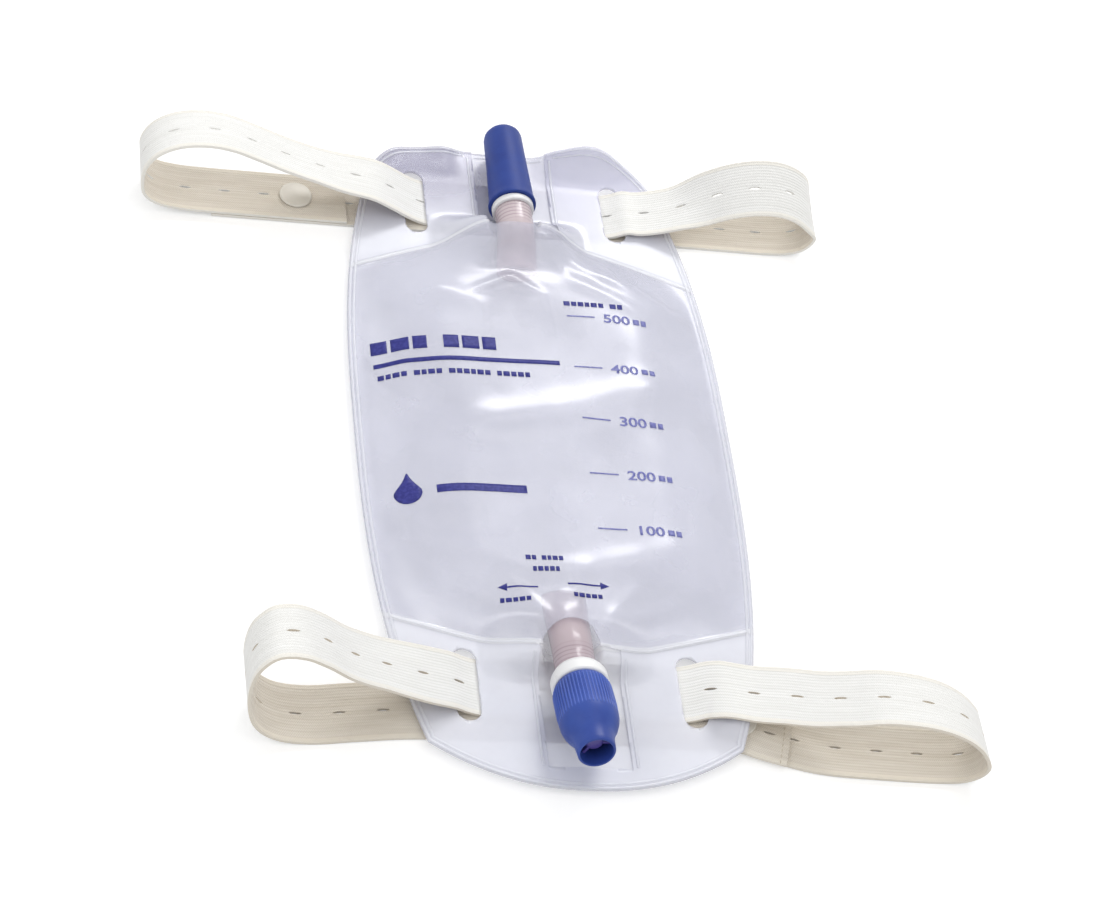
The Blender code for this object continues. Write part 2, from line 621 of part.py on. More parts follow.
def strap(name, route, rolls, button_x, material):
    """A flat strap along a route, with its row of slits and a hole for each button crossing."""
    points = curve_through(route, 0.0008)
    lengths = [0.0]
    for a, b in zip(points, points[1:]):
        lengths.append(lengths[-1] + (b - a).length)
    holes = []
    for i in range(len(points) - 1):
        crosses = (points[i].x - button_x) * (points[i + 1].x - button_x) <= 0
        if crosses and points[i].z < RUN_HIGH_Z + STRAP_THICKNESS / 2:
            t = (button_x - points[i].x) / (points[i + 1].x - points[i].x)
            holes.append(mix(lengths[i], lengths[i + 1], t))
    centres = [(hole, BUTTON_SHANK_RADIUS + GAP) for hole in holes]
    position = SLIT_PITCH / 2
    while position < lengths[-1] - SLIT_PITCH / 3:
        if all(abs(position - hole) > SLIT_PITCH * 0.45 for hole in holes):
            centres.append((position, SLIT_WIDTH / 2))
        position += SLIT_PITCH
    centres.sort()

    rows = [(0.0, SLIT_WIDTH / 2, False)]
    for centre, half in centres:
        opening = max(SLIT_LENGTH / 2, half)
        rows += rows_between(points, lengths, rows[-1][0], centre - opening)
        rows.append((centre - opening, half, True))
        rows.append((centre + opening, half, False))
    rows += rows_between(points, lengths, rows[-1][0], lengths[-1])
    rows.append((lengths[-1], SLIT_WIDTH / 2, False))

    bm = bmesh.new()
    bmesh.ops.create_grid(bm, x_segments=3, y_segments=len(rows) - 1, size=1.0)
    slit_faces = []
    for face in bm.faces:
        middle = face.calc_center_median()
        row = math.floor((middle.y + 1) / 2 * (len(rows) - 1))
        if abs(middle.x) < 0.2 and rows[row][2]:
            slit_faces.append(face)
    for vertex in bm.verts:
        column = round((vertex.co.x + 1) * 1.5)
        row = round((vertex.co.y + 1) / 2 * (len(rows) - 1))
        distance, half, _ = rows[row]
        across = (-STRAP_WIDTH / 2, -half, half, STRAP_WIDTH / 2)[column]
        centre, ahead = point_at(points, lengths, distance)
        side = Vector((0, 1, 0)) - ahead * ahead.y
        side.normalize()
        roll = rolls[0] if centre.x < 0 else rolls[1]
        roll *= smooth_step(OVER_FLAP_Z + 0.004, OVER_FLAP_Z + 0.014, centre.z)
        side.rotate(Matrix.Rotation(math.radians(roll), 3, Vector((1, 0, 0))))
        vertex.co = centre + side * across
    bmesh.ops.delete(bm, geom=slit_faces, context="FACES_ONLY")
    mesh = bpy.data.meshes.new(name)
    bm.to_mesh(mesh)
    bm.free()
    mesh.shade_smooth()
    band = add_part(name, mesh, material)
    wall = band.modifiers.new("strap_wall", "SOLIDIFY")
    wall.thickness = STRAP_THICKNESS
    wall.offset = 0.0
    wall.use_even_offset = True
    return band


# Tubes and turned pieces

def tube(name, port, stations, wall_inside, wall_outside, material):
    """A hollow loft along a port: stations hold outward distance and, past the tube, a section."""
    rings = []
    for station in stations:
        outward = station[0]
        centre_z, half_wide, half_high = station[1:] or port.section(outward)
        lean = smooth_step(port.inner_end, port.joint, outward) * math.atan(port.slope)
        pair = []
        for wall in (wall_outside, wall_inside):
            ring = []
            for step in range(TUBE_STEPS):
                angle = 2 * math.pi * step / TUBE_STEPS
                up = (half_high + wall) * math.sin(angle)
                y = port.side * (outward - up * math.sin(lean))
                z = centre_z + up * math.cos(lean)
                ring.append(Vector((port.x + (half_wide + wall) * math.cos(angle), y, z)))
            pair.append(ring)
        rings.append(pair)
    bm = bmesh.new()
    rings = [[[bm.verts.new(co) for co in ring] for ring in pair] for pair in rings]
    for step in range(TUBE_STEPS):
        after = (step + 1) % TUBE_STEPS
        for first, second in zip(rings, rings[1:]):
            for skin in (0, 1):
                bm.faces.new((first[skin][step], first[skin][after],
                              second[skin][after], second[skin][step]))
        for outer, inner in (rings[0], rings[-1]):
            bm.faces.new((outer[step], outer[after], inner[after], inner[step]))
    bmesh.ops.recalc_face_normals(bm, faces=bm.faces)
    mesh = bpy.data.meshes.new(name)
    bm.to_mesh(mesh)
    bm.free()
    mesh.shade_smooth()
    return add_part(name, mesh, material)


def turned(profile, steps, closed):
    """A body turned about the local Z axis from (radius, height) pairs."""
    bm = bmesh.new()
    corners = [bm.verts.new((radius, 0.0, height)) for radius, height in profile]
    for a, b in zip(corners, corners[1:]):
        bm.edges.new((a, b))
    if closed:
        bm.edges.new((corners[-1], corners[0]))
    bmesh.ops.spin(bm, geom=bm.verts[:] + bm.edges[:], axis=(0, 0, 1), cent=(0, 0, 0),
                   steps=steps, angle=2 * math.pi)
    bmesh.ops.remove_doubles(bm, verts=bm.verts, dist=0.000005)
    bmesh.ops.recalc_face_normals(bm, faces=bm.faces)
    return bm


def add_turned(name, bm, material, location, rotation):
    """Make a part from a turned body."""
    mesh = bpy.data.meshes.new(name)
    bm.to_mesh(mesh)
    bm.free()
    mesh.shade_smooth()
    return add_part(name, mesh, material, location, rotation)


def connector_profile():
    """Barb, flange and stepped nose of the inlet connector, with a bore right through."""
    back = -CONNECTOR_FLANGE_THICKNESS
    end = back - CONNECTOR_BARB_LENGTH
    profile = [
        (CONNECTOR_BORE_RADIUS, end),
        (CONNECTOR_BARB_RADIUS - 0.0008, end),
        (CONNECTOR_BARB_RADIUS, end + 0.0010),
        (CONNECTOR_BARB_RADIUS, back),
        (CONNECTOR_FLANGE_RADIUS, back),
        (CONNECTOR_FLANGE_RADIUS, 0.0),
    ]
    for step in range(CONNECTOR_STEPS):
        start = step / CONNECTOR_STEPS
        finish = (step + 1) / CONNECTOR_STEPS
        wide = mix(CONNECTOR_NOSE_RADIUS, CONNECTOR_NOSE_TIP_RADIUS, start)
        narrow = mix(CONNECTOR_NOSE_RADIUS, CONNECTOR_NOSE_TIP_RADIUS, finish)
        profile.append((wide - 0.0003 * min(step, 1), CONNECTOR_NOSE_LENGTH * start))
        profile.append((narrow - 0.0001, CONNECTOR_NOSE_LENGTH * (finish - 0.02)))
    profile.append((CONNECTOR_NOSE_TIP_RADIUS - 0.0004, CONNECTOR_NOSE_LENGTH))
    profile.append((CONNECTOR_BORE_RADIUS, CONNECTOR_NOSE_LENGTH))
    return profile


def cap_profile():
    """Pull-off cap: a skirt round the flange, a tapered inside and a rounded closed tip."""
    tip = CAP_LENGTH - CAP_SKIRT
    skirt = CONNECTOR_FLANGE_RADIUS + GAP
    return [
        (0.0, tip),
        (CAP_TIP_RADIUS * 0.55, tip - 0.0003),
        (CAP_TIP_RADIUS * 0.88, tip - 0.0014),
        (CAP_TIP_RADIUS, tip - 0.0036),
        (mix(CAP_TIP_RADIUS, CAP_RIM_RADIUS, 0.75), CAP_LIP),
        (CAP_RIM_RADIUS, CAP_LIP * 0.4),
        (CAP_RIM_RADIUS, 0.0003 - CAP_SKIRT),
        (CAP_RIM_RADIUS - 0.0003, -CAP_SKIRT),
        (skirt, -CAP_SKIRT),
        (skirt, GAP),
        (CONNECTOR_NOSE_RADIUS + GAP, GAP),
        (CONNECTOR_NOSE_TIP_RADIUS + GAP, CONNECTOR_NOSE_LENGTH + GAP),
        (CONNECTOR_NOSE_TIP_RADIUS - GAP, tip - CAP_END_WALL),
        (0.0, tip - CAP_END_WALL),
    ]


def stem_profile():
    """Fixed half of the valve: barb, collar and the round stem that the barrel turns on."""
    end = -COLLAR_THICKNESS - STEM_BARB_LENGTH
    return [
        (STEM_BORE_RADIUS, end),
        (STEM_BARB_RADIUS - 0.0008, end),
        (STEM_BARB_RADIUS, end + 0.0010),
        (STEM_BARB_RADIUS, -COLLAR_THICKNESS),
        (COLLAR_SHOULDER_RADIUS, -COLLAR_THICKNESS),
        (COLLAR_RADIUS, COLLAR_SHOULDER - COLLAR_THICKNESS),
        (COLLAR_RADIUS, -0.0008),
        (COLLAR_RADIUS - 0.0008, 0.0),
        (STEM_RADIUS, 0.0),
        (STEM_RADIUS, STEM_LENGTH - 0.0005),
        (STEM_RADIUS - 0.0005, STEM_LENGTH),
        (STEM_BORE_RADIUS, STEM_LENGTH),
    ]


def barrel_profile():
    """Twist barrel: gripped outside, taper to the nozzle, and a bore with the seal's groove."""
    groove = SEAL_SECTION_RADIUS + GAP
    groove_radius = STEM_RADIUS + GAP + 2 * SEAL_SECTION_RADIUS + GAP
    return [
        (BARREL_BORE_RADIUS, GAP),
        (BARREL_RADIUS - 0.0013, GAP),
        (BARREL_RADIUS - 0.0004, 0.0013),
        (BARREL_RADIUS, 0.0030),
        (BARREL_RADIUS, 0.0034),
        (BARREL_RADIUS, BARREL_GRIP_END - 0.0004),
        (BARREL_RADIUS, BARREL_GRIP_END),
        (BARREL_RADIUS - 0.0004, BARREL_GRIP_END + 0.0015),
        (BARREL_RADIUS - 0.0016, BARREL_GRIP_END + 0.0055),
        (NOZZLE_RADIUS + 0.0005, NOZZLE_START),
        (NOZZLE_RADIUS, BARREL_LENGTH - 0.0004),
        (NOZZLE_RADIUS - 0.0004, BARREL_LENGTH),
        (NOZZLE_BORE_RADIUS, BARREL_LENGTH),
        (NOZZLE_BORE_RADIUS, STEM_LENGTH + 0.0042),
        (BARREL_BORE_RADIUS, STEM_LENGTH + 0.0020),
        (BARREL_BORE_RADIUS, SEAL_POSITION + groove),
        (groove_radius, SEAL_POSITION + groove),
        (groove_radius, SEAL_POSITION - groove),
        (BARREL_BORE_RADIUS, SEAL_POSITION - groove),
    ]


def seal_profile():
    """Round section of the valve's sealing ring."""
    centre = STEM_RADIUS + GAP + SEAL_SECTION_RADIUS
    ring = []
    for step in range(8):
        angle = 2 * math.pi * step / 8
        ring.append((centre + SEAL_SECTION_RADIUS * math.cos(angle),
                     SEAL_SECTION_RADIUS * math.sin(angle)))
    return ring


def button_profile():
    """Domed head on top of the layers and a shank down through both of them."""
    under = RUN_HIGH_Z + STRAP_THICKNESS / 2 + GAP
    return [
        (0.0, under + BUTTON_THICKNESS),
        (BUTTON_RADIUS * 0.55, under + BUTTON_THICKNESS * 0.93),
        (BUTTON_RADIUS * 0.9, under + BUTTON_THICKNESS * 0.62),
        (BUTTON_RADIUS, under + BUTTON_THICKNESS * 0.3),
        (BUTTON_RADIUS * 0.95, under),
        (BUTTON_SHANK_RADIUS, under),
        (BUTTON_SHANK_RADIUS, RUN_LOW_Z - STRAP_THICKNESS / 2 + 0.0002),
        (0.0, RUN_LOW_Z - STRAP_THICKNESS / 2 + 0.0002),
    ]


# Materials

film_clear = plain_material("clear_film", (0.58, 0.60, 0.75), 0.25, 0.45)
tube_soft = plain_material("soft_tube", (0.72, 0.74, 0.85), 0.3, 0.7)
sleeve_clear = plain_material("sleeve_film", (0.62, 0.65, 0.78), 0.25, 0.4)
cap_blue = plain_material("blue_cap", (0.03, 0.08, 0.38), 0.35)
white_plastic = plain_material("white_plastic", (0.85, 0.85, 0.86), 0.35)
valve_blue = plain_material("blue_valve", (0.03, 0.08, 0.38), 0.35)
seal_rubber = plain_material("seal_rubber", (0.05, 0.05, 0.05), 0.6)
strap_fabric = plain_material("ivory_strap", (0.82, 0.79, 0.72), 0.85)
button_plastic = plain_material("button_plastic", (0.80, 0.78, 0.72), 0.4)

# Films, welded along their seams and open at the two ports

slots = slot_cutter()
windows = window_cutter()
back_film = film("back_film", back_height, film_clear)
boolean(back_film, slots, "DIFFERENCE")
front_film = film("front_film", front_height, film_clear)
boolean(front_film, slots, "DIFFERENCE")
boolean(front_film, windows, "DIFFERENCE")

# Inlet

inlet_place = (INLET_X, INLET_Y, INLET_Z)
inlet_turn = (-(math.pi / 2 + INLET_ANGLE), 0.0, 0.0)
inlet_stations = [
    (INLET.inner_end,), (INLET.inner_end + 0.004,), (INLET.inner_end + 0.008,),
    (INLET.inner_end + 0.012,), (INLET.inner_end + 0.016,), (INLET.joint - TUBE_STRAIGHT,),
    (INLET.joint - 0.0035,), (INLET.joint,),
]
tube("inlet_tube", INLET, inlet_stations, -TUBE_WALL, 0.0, tube_soft)
add_turned("inlet_connector", turned(connector_profile(), TURN_STEPS, True), white_plastic,
           inlet_place, inlet_turn)
add_turned("inlet_cap", turned(cap_profile(), TURN_STEPS, False), cap_blue, inlet_place, inlet_turn)

sleeve_stations = [
    (INLET.inner_end + SLEEVE_OVERLAP,), (INLET.inner_end + SLEEVE_OVERLAP / 2,),
    (INLET.inner_end,),
    (INLET.inner_end - 0.004, 0.0073, 0.0088, 0.0030),
    (INLET.inner_end - 0.008, 0.0068, SLEEVE_HALF_WIDTH - 0.002, 0.0018),
    (INLET.inner_end - 0.020, 0.0062, SLEEVE_HALF_WIDTH - 0.0005, 0.0006),
    (SLEEVE_END_Y, 0.0058, SLEEVE_HALF_WIDTH, 0.0005),
]
tube("anti_reflux_sleeve", INLET, sleeve_stations, GAP, GAP + SLEEVE_FILM, sleeve_clear)

# Outlet

outlet_place = (OUTLET_X, OUTLET_Y, OUTLET_Z)
outlet_turn = (math.pi / 2 - OUTLET_ANGLE, 0.0, 0.0)
outlet_stations = [
    (OUTLET.inner_end,), (OUTLET.inner_end + 0.005,), (OUTLET.inner_end + 0.010,),
    (OUTLET.inner_end + 0.015,), (OUTLET.inner_end + 0.020,), (OUTLET.joint - TUBE_STRAIGHT,),
    (OUTLET.joint - 0.0035,), (OUTLET.joint,),
]
tube("outlet_tube", OUTLET, outlet_stations, -TUBE_WALL, 0.0, tube_soft)
add_turned("valve_stem", turned(stem_profile(), TURN_STEPS, True), white_plastic,
           outlet_place, outlet_turn)
seal_way = Euler(outlet_turn).to_matrix() @ Vector((0.0, 0.0, SEAL_POSITION))
add_turned("valve_seal", turned(seal_profile(), TURN_STEPS, True), seal_rubber,
           Vector(outlet_place) + seal_way, outlet_turn)

barrel_body = turned(barrel_profile(), 2 * GRIP_RIBS, True)
for vertex in barrel_body.verts:
    in_grip = 0.0032 < vertex.co.z < BARREL_GRIP_END - 0.0002
    radius = math.hypot(vertex.co.x, vertex.co.y)
    rib = round(math.atan2(vertex.co.y, vertex.co.x) / (math.pi / GRIP_RIBS))
    if in_grip and radius > BARREL_RADIUS - 0.0001 and rib % 2:
        vertex.co.x *= 1 - RIB_DEPTH / radius
        vertex.co.y *= 1 - RIB_DEPTH / radius
valve_barrel = add_turned("valve_barrel", barrel_body, valve_blue, outlet_place, outlet_turn)

pin = turned([
    (0.0, WEB_START + WEB_LENGTH),
    (STEM_BORE_RADIUS - GAP, WEB_START + WEB_LENGTH),
    (STEM_BORE_RADIUS - GAP, STEM_LENGTH - PLUG_ENTRY + 0.0008),
    (STEM_BORE_RADIUS - GAP - 0.0008, STEM_LENGTH - PLUG_ENTRY),
    (0.0, STEM_LENGTH - PLUG_ENTRY),
], TURN_STEPS, False)
plug = add_cutter("barrel_plug", pin)
webs = bmesh.new()
for web in range(WEB_COUNT):
    made = bmesh.ops.create_cube(webs, size=1.0)
    reach = (NOZZLE_RADIUS + NOZZLE_BORE_RADIUS) / 2
    turn = Matrix.Rotation(2 * math.pi * web / WEB_COUNT, 3, "Z")
    for vertex in made["verts"]:
        vertex.co = turn @ Vector((
            mix(0.0010, reach, vertex.co.x + 0.5), vertex.co.y * WEB_THICKNESS,
            mix(WEB_START + 0.0003, WEB_START + WEB_LENGTH - 0.0003, vertex.co.z + 0.5)))
web_arms = add_cutter("barrel_webs", webs)
for tool in (web_arms, plug):
    tool.location = outlet_place
    tool.rotation_euler = outlet_turn
    boolean(valve_barrel, tool, "UNION")

# Straps and their buttons

strap("upper_strap", upper_strap_route(), (-10.0, 25.0), UPPER_BUTTON_X, strap_fabric)
strap("lower_strap", lower_strap_route(), (-8.0, -5.0), LOWER_BUTTON_X, strap_fabric)
add_turned("upper_button", turned(button_profile(), TURN_STEPS, False), button_plastic,
           (UPPER_BUTTON_X, UPPER_SLOT_Y - 0.0025, 0.0), (0.0, 0.0, 0.0))
add_turned("lower_button", turned(button_profile(), TURN_STEPS, False), button_plastic,
           (LOWER_BUTTON_X, strap_run_y(LOWER_BUTTON_X), 0.0), (0.0, 0.0, 0.0))
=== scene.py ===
# %% [markdown]
# # A urine drainage leg bag, step by step
#
# The bag is two sheets of clear film welded together, a capped inlet at the top, a blue twist
# valve at the bottom and two ivory buttonhole straps. The rigid model comes first: it fixes every
# size and every moving body. The script then dresses each piece, one cell at a time.

# %% Load the frame
import math

import bmesh
import bpy
from mathutils import Matrix, Vector, noise


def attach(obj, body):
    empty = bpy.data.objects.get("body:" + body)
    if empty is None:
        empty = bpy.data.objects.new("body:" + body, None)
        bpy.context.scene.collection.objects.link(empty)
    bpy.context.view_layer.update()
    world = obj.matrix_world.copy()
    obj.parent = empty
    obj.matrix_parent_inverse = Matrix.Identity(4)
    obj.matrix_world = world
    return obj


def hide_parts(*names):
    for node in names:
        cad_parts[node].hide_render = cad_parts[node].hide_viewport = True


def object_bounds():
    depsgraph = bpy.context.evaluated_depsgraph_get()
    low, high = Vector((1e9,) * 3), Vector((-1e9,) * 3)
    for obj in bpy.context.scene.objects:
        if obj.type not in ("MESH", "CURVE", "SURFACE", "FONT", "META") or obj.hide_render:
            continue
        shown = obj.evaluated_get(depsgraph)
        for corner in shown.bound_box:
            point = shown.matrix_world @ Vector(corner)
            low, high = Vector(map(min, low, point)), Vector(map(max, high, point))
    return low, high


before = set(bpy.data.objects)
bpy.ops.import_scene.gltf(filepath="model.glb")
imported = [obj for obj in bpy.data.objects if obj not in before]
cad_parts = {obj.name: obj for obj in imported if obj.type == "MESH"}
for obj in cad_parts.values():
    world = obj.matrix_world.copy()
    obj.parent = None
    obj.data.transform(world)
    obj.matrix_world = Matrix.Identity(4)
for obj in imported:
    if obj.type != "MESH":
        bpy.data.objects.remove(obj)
frame_low, frame_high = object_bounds()
frame_low, frame_high = frame_low.copy(), frame_high.copy()
print("nodes:", sorted(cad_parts))

# %% [markdown]
# ## Short calls
#
# Blender needs several calls to add an object or a node. The helpers here make one call of them,
# and let the outputs of nodes be added and multiplied like numbers. The cells below then say only
# what is special to the bag.

# %% Objects
def in_scene(item):
    """Link an object to the scene."""
    bpy.context.scene.collection.objects.link(item)
    return item


def mesh_object(name, bm, *materials):
    """Turn a bmesh into a smooth object."""
    mesh = bpy.data.meshes.new(name)
    bm.to_mesh(mesh)
    bm.free()
    mesh.shade_smooth()
    for material in materials:
        mesh.materials.append(material)
    return in_scene(bpy.data.objects.new(name, mesh))


def evaluated_mesh(item, name):
    """A plain mesh of what an object's modifiers, tree or text make."""
    graph = bpy.context.evaluated_depsgraph_get()
    mesh = bpy.data.meshes.new_from_object(item.evaluated_get(graph))
    mesh.name = name
    mesh.shade_smooth()
    return mesh


print("helpers for objects: in_scene, mesh_object, evaluated_mesh")

# %% Nodes in sums
class Value:
    """A node's output that can be used in sums."""

    def __init__(self, tree, socket):
        self.tree, self.socket = tree, socket

    def __add__(self, other):
        return self.tree.math("ADD", self, other)

    def __sub__(self, other):
        return self.tree.math("SUBTRACT", self, other)

    def __rsub__(self, other):
        return self.tree.math("SUBTRACT", other, self)

    def __mul__(self, other):
        return self.tree.math("MULTIPLY", self, other)

    def __truediv__(self, other):
        return self.tree.math("DIVIDE", self, other)

    def __pow__(self, other):
        return self.tree.math("POWER", self, other)

    def __abs__(self):
        return self.tree.math("ABSOLUTE", self)

    __radd__, __rmul__ = __add__, __mul__


class Nodes:
    """Short calls for the nodes of one tree."""

    def __init__(self, tree):
        self.tree, self.nodes = tree, tree.nodes

    def plug(self, source, target):
        """Link an output to an input, or give the input a value."""
        if isinstance(source, Value):
            source = source.socket
        if isinstance(source, bpy.types.NodeSocket):
            self.tree.links.new(source, target)
        else:
            target.default_value = source

    def node(self, kind, inputs, **settings):
        """A new node with its settings and inputs."""
        node = self.nodes.new(kind)
        for name, setting in settings.items():
            setattr(node, name, setting)
        for socket, source in inputs.items():
            self.plug(source, node.inputs[socket])
        return node

    def value(self, kind, inputs, output=0, **settings):
        """One output of a new node."""
        return Value(self, self.node(kind, inputs, **settings).outputs[output])

    def math(self, operation, *values):
        """One sum, of outputs and numbers."""
        return self.value("ShaderNodeMath", dict(enumerate(values)), operation=operation)


print("helpers for nodes: Value, Nodes")

# %% Materials
class Wiring(Nodes):
    """The nodes of one material."""

    def __init__(self, name):
        self.material = bpy.data.materials.new(name)
        self.material.use_nodes = True
        super().__init__(self.material.node_tree)

    def place(self):
        """Places on the object, in metres."""
        return self.value("ShaderNodeTexCoord", {}, "Object")

    def parts(self, vector):
        """The x, y and z of a vector."""
        split = self.node("ShaderNodeSeparateXYZ", {0: vector})
        return [Value(self, part) for part in split.outputs]

    def noise(self, vector, scale, detail=3.0):
        """Cloudy noise from about 0.3 to 0.7, with scale clouds to a metre."""
        return self.value(
            "ShaderNodeTexNoise", {"Vector": vector, "Scale": scale, "Detail": detail}, "Fac")

    def ramp(self, value, low, high, to_low=0.0, to_high=1.0):
        """A smooth step from one level to another."""
        return self.value("ShaderNodeMapRange", {
            "Value": value, "From Min": low, "From Max": high, "To Min": to_low, "To Max": to_high,
        }, interpolation_type="SMOOTHSTEP")

    def blend(self, amount, a, b):
        """A colour between two others."""
        return self.value("ShaderNodeMix", {0: amount, 6: a, 7: b}, 2, data_type="RGBA")

    def bump(self, height, distance, strength=1.0):
        """A normal that leans as a relief of this depth would."""
        return self.value(
            "ShaderNodeBump", {"Height": height, "Distance": distance, "Strength": strength})

    def finish(self, **values):
        """Set the surface and hand over the material."""
        for name, value in values.items():
            self.plug(value, self.nodes["Principled BSDF"].inputs[name.replace("_", " ")])
        return self.material


def speckled(name, scale, dark, pale, **surface):
    """A plain material that wanders between two colours."""
    skin = Wiring(name)
    colour = skin.blend(skin.noise(skin.place(), scale), dark, pale)
    return skin.finish(Base_Color=colour, **surface)


print("helpers for materials: Wiring, speckled")

# %% Trees
class Tree(Nodes):
    """A Geometry Nodes tree with named settings, which ends in real, painted geometry."""

    def __init__(self, name, settings):
        super().__init__(bpy.data.node_groups.new(name, "GeometryNodeTree"))
        face = self.tree.interface
        face.new_socket("Geometry", in_out="INPUT", socket_type="NodeSocketGeometry")
        for setting, value in settings.items():
            kind = "NodeSocketInt" if isinstance(value, int) else "NodeSocketFloat"
            face.new_socket(setting, in_out="INPUT", socket_type=kind).default_value = value
        face.new_socket("Geometry", in_out="OUTPUT", socket_type="NodeSocketGeometry")
        self.start = self.node("NodeGroupInput", {}).outputs

    def close(self, geometry, material):
        """Make instances real, set the material and put the geometry out."""
        real = self.node("GeometryNodeRealizeInstances", {"Geometry": geometry})
        paint = self.node("GeometryNodeSetMaterial",
                          {"Geometry": real.outputs[0], "Material": material})
        self.node("NodeGroupOutput", {"Geometry": paint.outputs[0]})
        return self.tree


def run_tree(source, tree, name, settings):
    """Run a tree on an object and keep the result as a plain mesh piece."""
    modifier = source.modifiers.new("tree", "NODES")
    modifier.node_group = tree
    for item in tree.interface.items_tree:
        if item.in_out == "INPUT" and item.name in settings:
            modifier[item.identifier] = settings[item.name]
    piece = in_scene(bpy.data.objects.new(name, evaluated_mesh(source, name)))
    bpy.data.objects.remove(source, do_unlink=True)
    print(name, len(piece.data.polygons), "faces")
    return piece


print("helpers for trees: Tree, run_tree")

# %% [markdown]
# ## Camera
#
# The photograph was taken from above and a little to the left, with the camera rolled so that
# the bag runs from top left to bottom right. A camera can be described by the way it looks, its
# roll, its distance and its focal length, and those five numbers say more to a reader than a
# matrix does. The point on the bag that the camera aims at lands on a chosen pixel.

# %% Camera
IMAGE_WIDTH, IMAGE_HEIGHT = 1116, 900
CAMERA_AZIMUTH, CAMERA_ELEVATION, CAMERA_ROLL = -22.2, 48.6, 20.5
CAMERA_DISTANCE = 0.93
FOCAL_PIXELS = 2767.0
AIM = Vector((0.0, 0.0, 0.0034))
AIM_PIXEL = (550.0, 470.0)


def make_camera():
    """Place the camera so that AIM lands on AIM_PIXEL."""
    azimuth, elevation, roll = map(math.radians, (CAMERA_AZIMUTH, CAMERA_ELEVATION, CAMERA_ROLL))
    turn = (Matrix.Rotation(azimuth, 3, "Z") @ Matrix.Rotation(math.pi / 2 - elevation, 3, "X")
            @ Matrix.Rotation(roll, 3, "Z"))
    across = (AIM_PIXEL[0] - IMAGE_WIDTH / 2) / FOCAL_PIXELS
    rise = (IMAGE_HEIGHT / 2 - AIM_PIXEL[1]) / FOCAL_PIXELS
    place = AIM + CAMERA_DISTANCE * (turn @ Vector((-across, -rise, 1)))
    data = bpy.data.cameras.new("camera")
    data.sensor_fit = "HORIZONTAL"
    data.sensor_width = 36.0
    data.lens = FOCAL_PIXELS * data.sensor_width / IMAGE_WIDTH
    data.clip_start, data.clip_end = 0.01, 20.0
    camera = in_scene(bpy.data.objects.new("camera", data))
    camera.matrix_world = Matrix.Translation(place) @ turn.to_4x4()
    bpy.context.scene.camera = camera
    return camera


camera = make_camera()
print("lens", round(camera.data.lens, 2), "mm")

# %% [markdown]
# ## Light, floor and surroundings
#
# The film only looks like film when something bright is mirrored in it. The key lamp stands low
# behind the bag on the right, where only creases and swells can mirror it, and a weak lamp above
# it is there for the flaps. A third lamp fills from the left, and a wide one overhead and the
# white world do the rest. The floor is white to the camera, and still takes the object's shadow.
#
# Light has to pass both films, the sleeve and a tube on its way down and on its way up again.
# Blender stops at 8 see-through surfaces, which would leave the inlet dark, so the limit is 24.

# %% Lights and floor
def area_lamp(name, place, aim, size, power):
    """A soft rectangular lamp that looks at a point."""
    data = bpy.data.lights.new(name, "AREA")
    data.shape = "RECTANGLE"
    data.size, data.size_y = size
    data.energy = power
    lamp = in_scene(bpy.data.objects.new(name, data))
    lamp.location = place
    lamp.rotation_euler = (Vector(aim) - Vector(place)).to_track_quat("-Z", "Y").to_euler()


area_lamp("key_lamp", (0.44, 1.21, 0.90), (0, 0, 0), (0.70, 0.24), 8.8)
area_lamp("flap_lamp", (0.44, 0.78, 1.32), (0, -0.1, 0), (0.60, 0.22), 1.0)
area_lamp("fill_lamp", (-1.2, -0.3, 1.0), (0, 0, 0), (0.9, 0.9), 3.7)
area_lamp("top_lamp", (0.1, -0.2, 1.7), (0, 0, 0), (1.4, 1.4), 4.6)

WORLD_LIGHT, FLOOR_GLOW, FLOOR_HALF, FLOOR_BELOW = 0.64, 0.36, 3.0, 0.0001
FLOOR_WHITE = (0.80, 0.80, 0.80, 1)
SEE_THROUGH_SURFACES = 24
bpy.context.scene.cycles.transparent_max_bounces = SEE_THROUGH_SURFACES


def seen_directly(tree):
    """1 for what the camera, a reflection or a clear film sees, and 0 for light on the object."""
    path = tree.node("ShaderNodeLightPath", {}).outputs
    either = tree.math("MAXIMUM", path["Is Camera Ray"], path["Is Glossy Ray"])
    return tree.math("MAXIMUM", either, path["Is Transmission Ray"])


world = bpy.data.worlds.new("white_world")
bpy.context.scene.world = world
world.use_nodes = True
sky = Nodes(world.node_tree)
background = sky.nodes["Background"].inputs
sky.plug((1, 1, 1, 1), background["Color"])
sky.plug(sky.value("ShaderNodeMapRange", {
    "Value": seen_directly(sky), "To Min": WORLD_LIGHT, "To Max": 1.0}), background["Strength"])

white = Wiring("floor_white")
white.nodes.remove(white.nodes["Principled BSDF"])
matt = white.node("ShaderNodeBsdfDiffuse", {"Color": FLOOR_WHITE})
glow = white.node("ShaderNodeEmission", {"Strength": seen_directly(white) * FLOOR_GLOW})
both = white.node("ShaderNodeAddShader", {0: matt.outputs[0], 1: glow.outputs[0]})
white.plug(both.outputs[0], white.nodes["Material Output"].inputs["Surface"])

bm = bmesh.new()
bmesh.ops.create_grid(bm, x_segments=1, y_segments=1, size=FLOOR_HALF,
                      matrix=Matrix.Translation((0, 0, frame_low.z - FLOOR_BELOW)))
floor = mesh_object("floor", bm, white.material)

bpy.context.scene.view_settings.view_transform = "Standard"

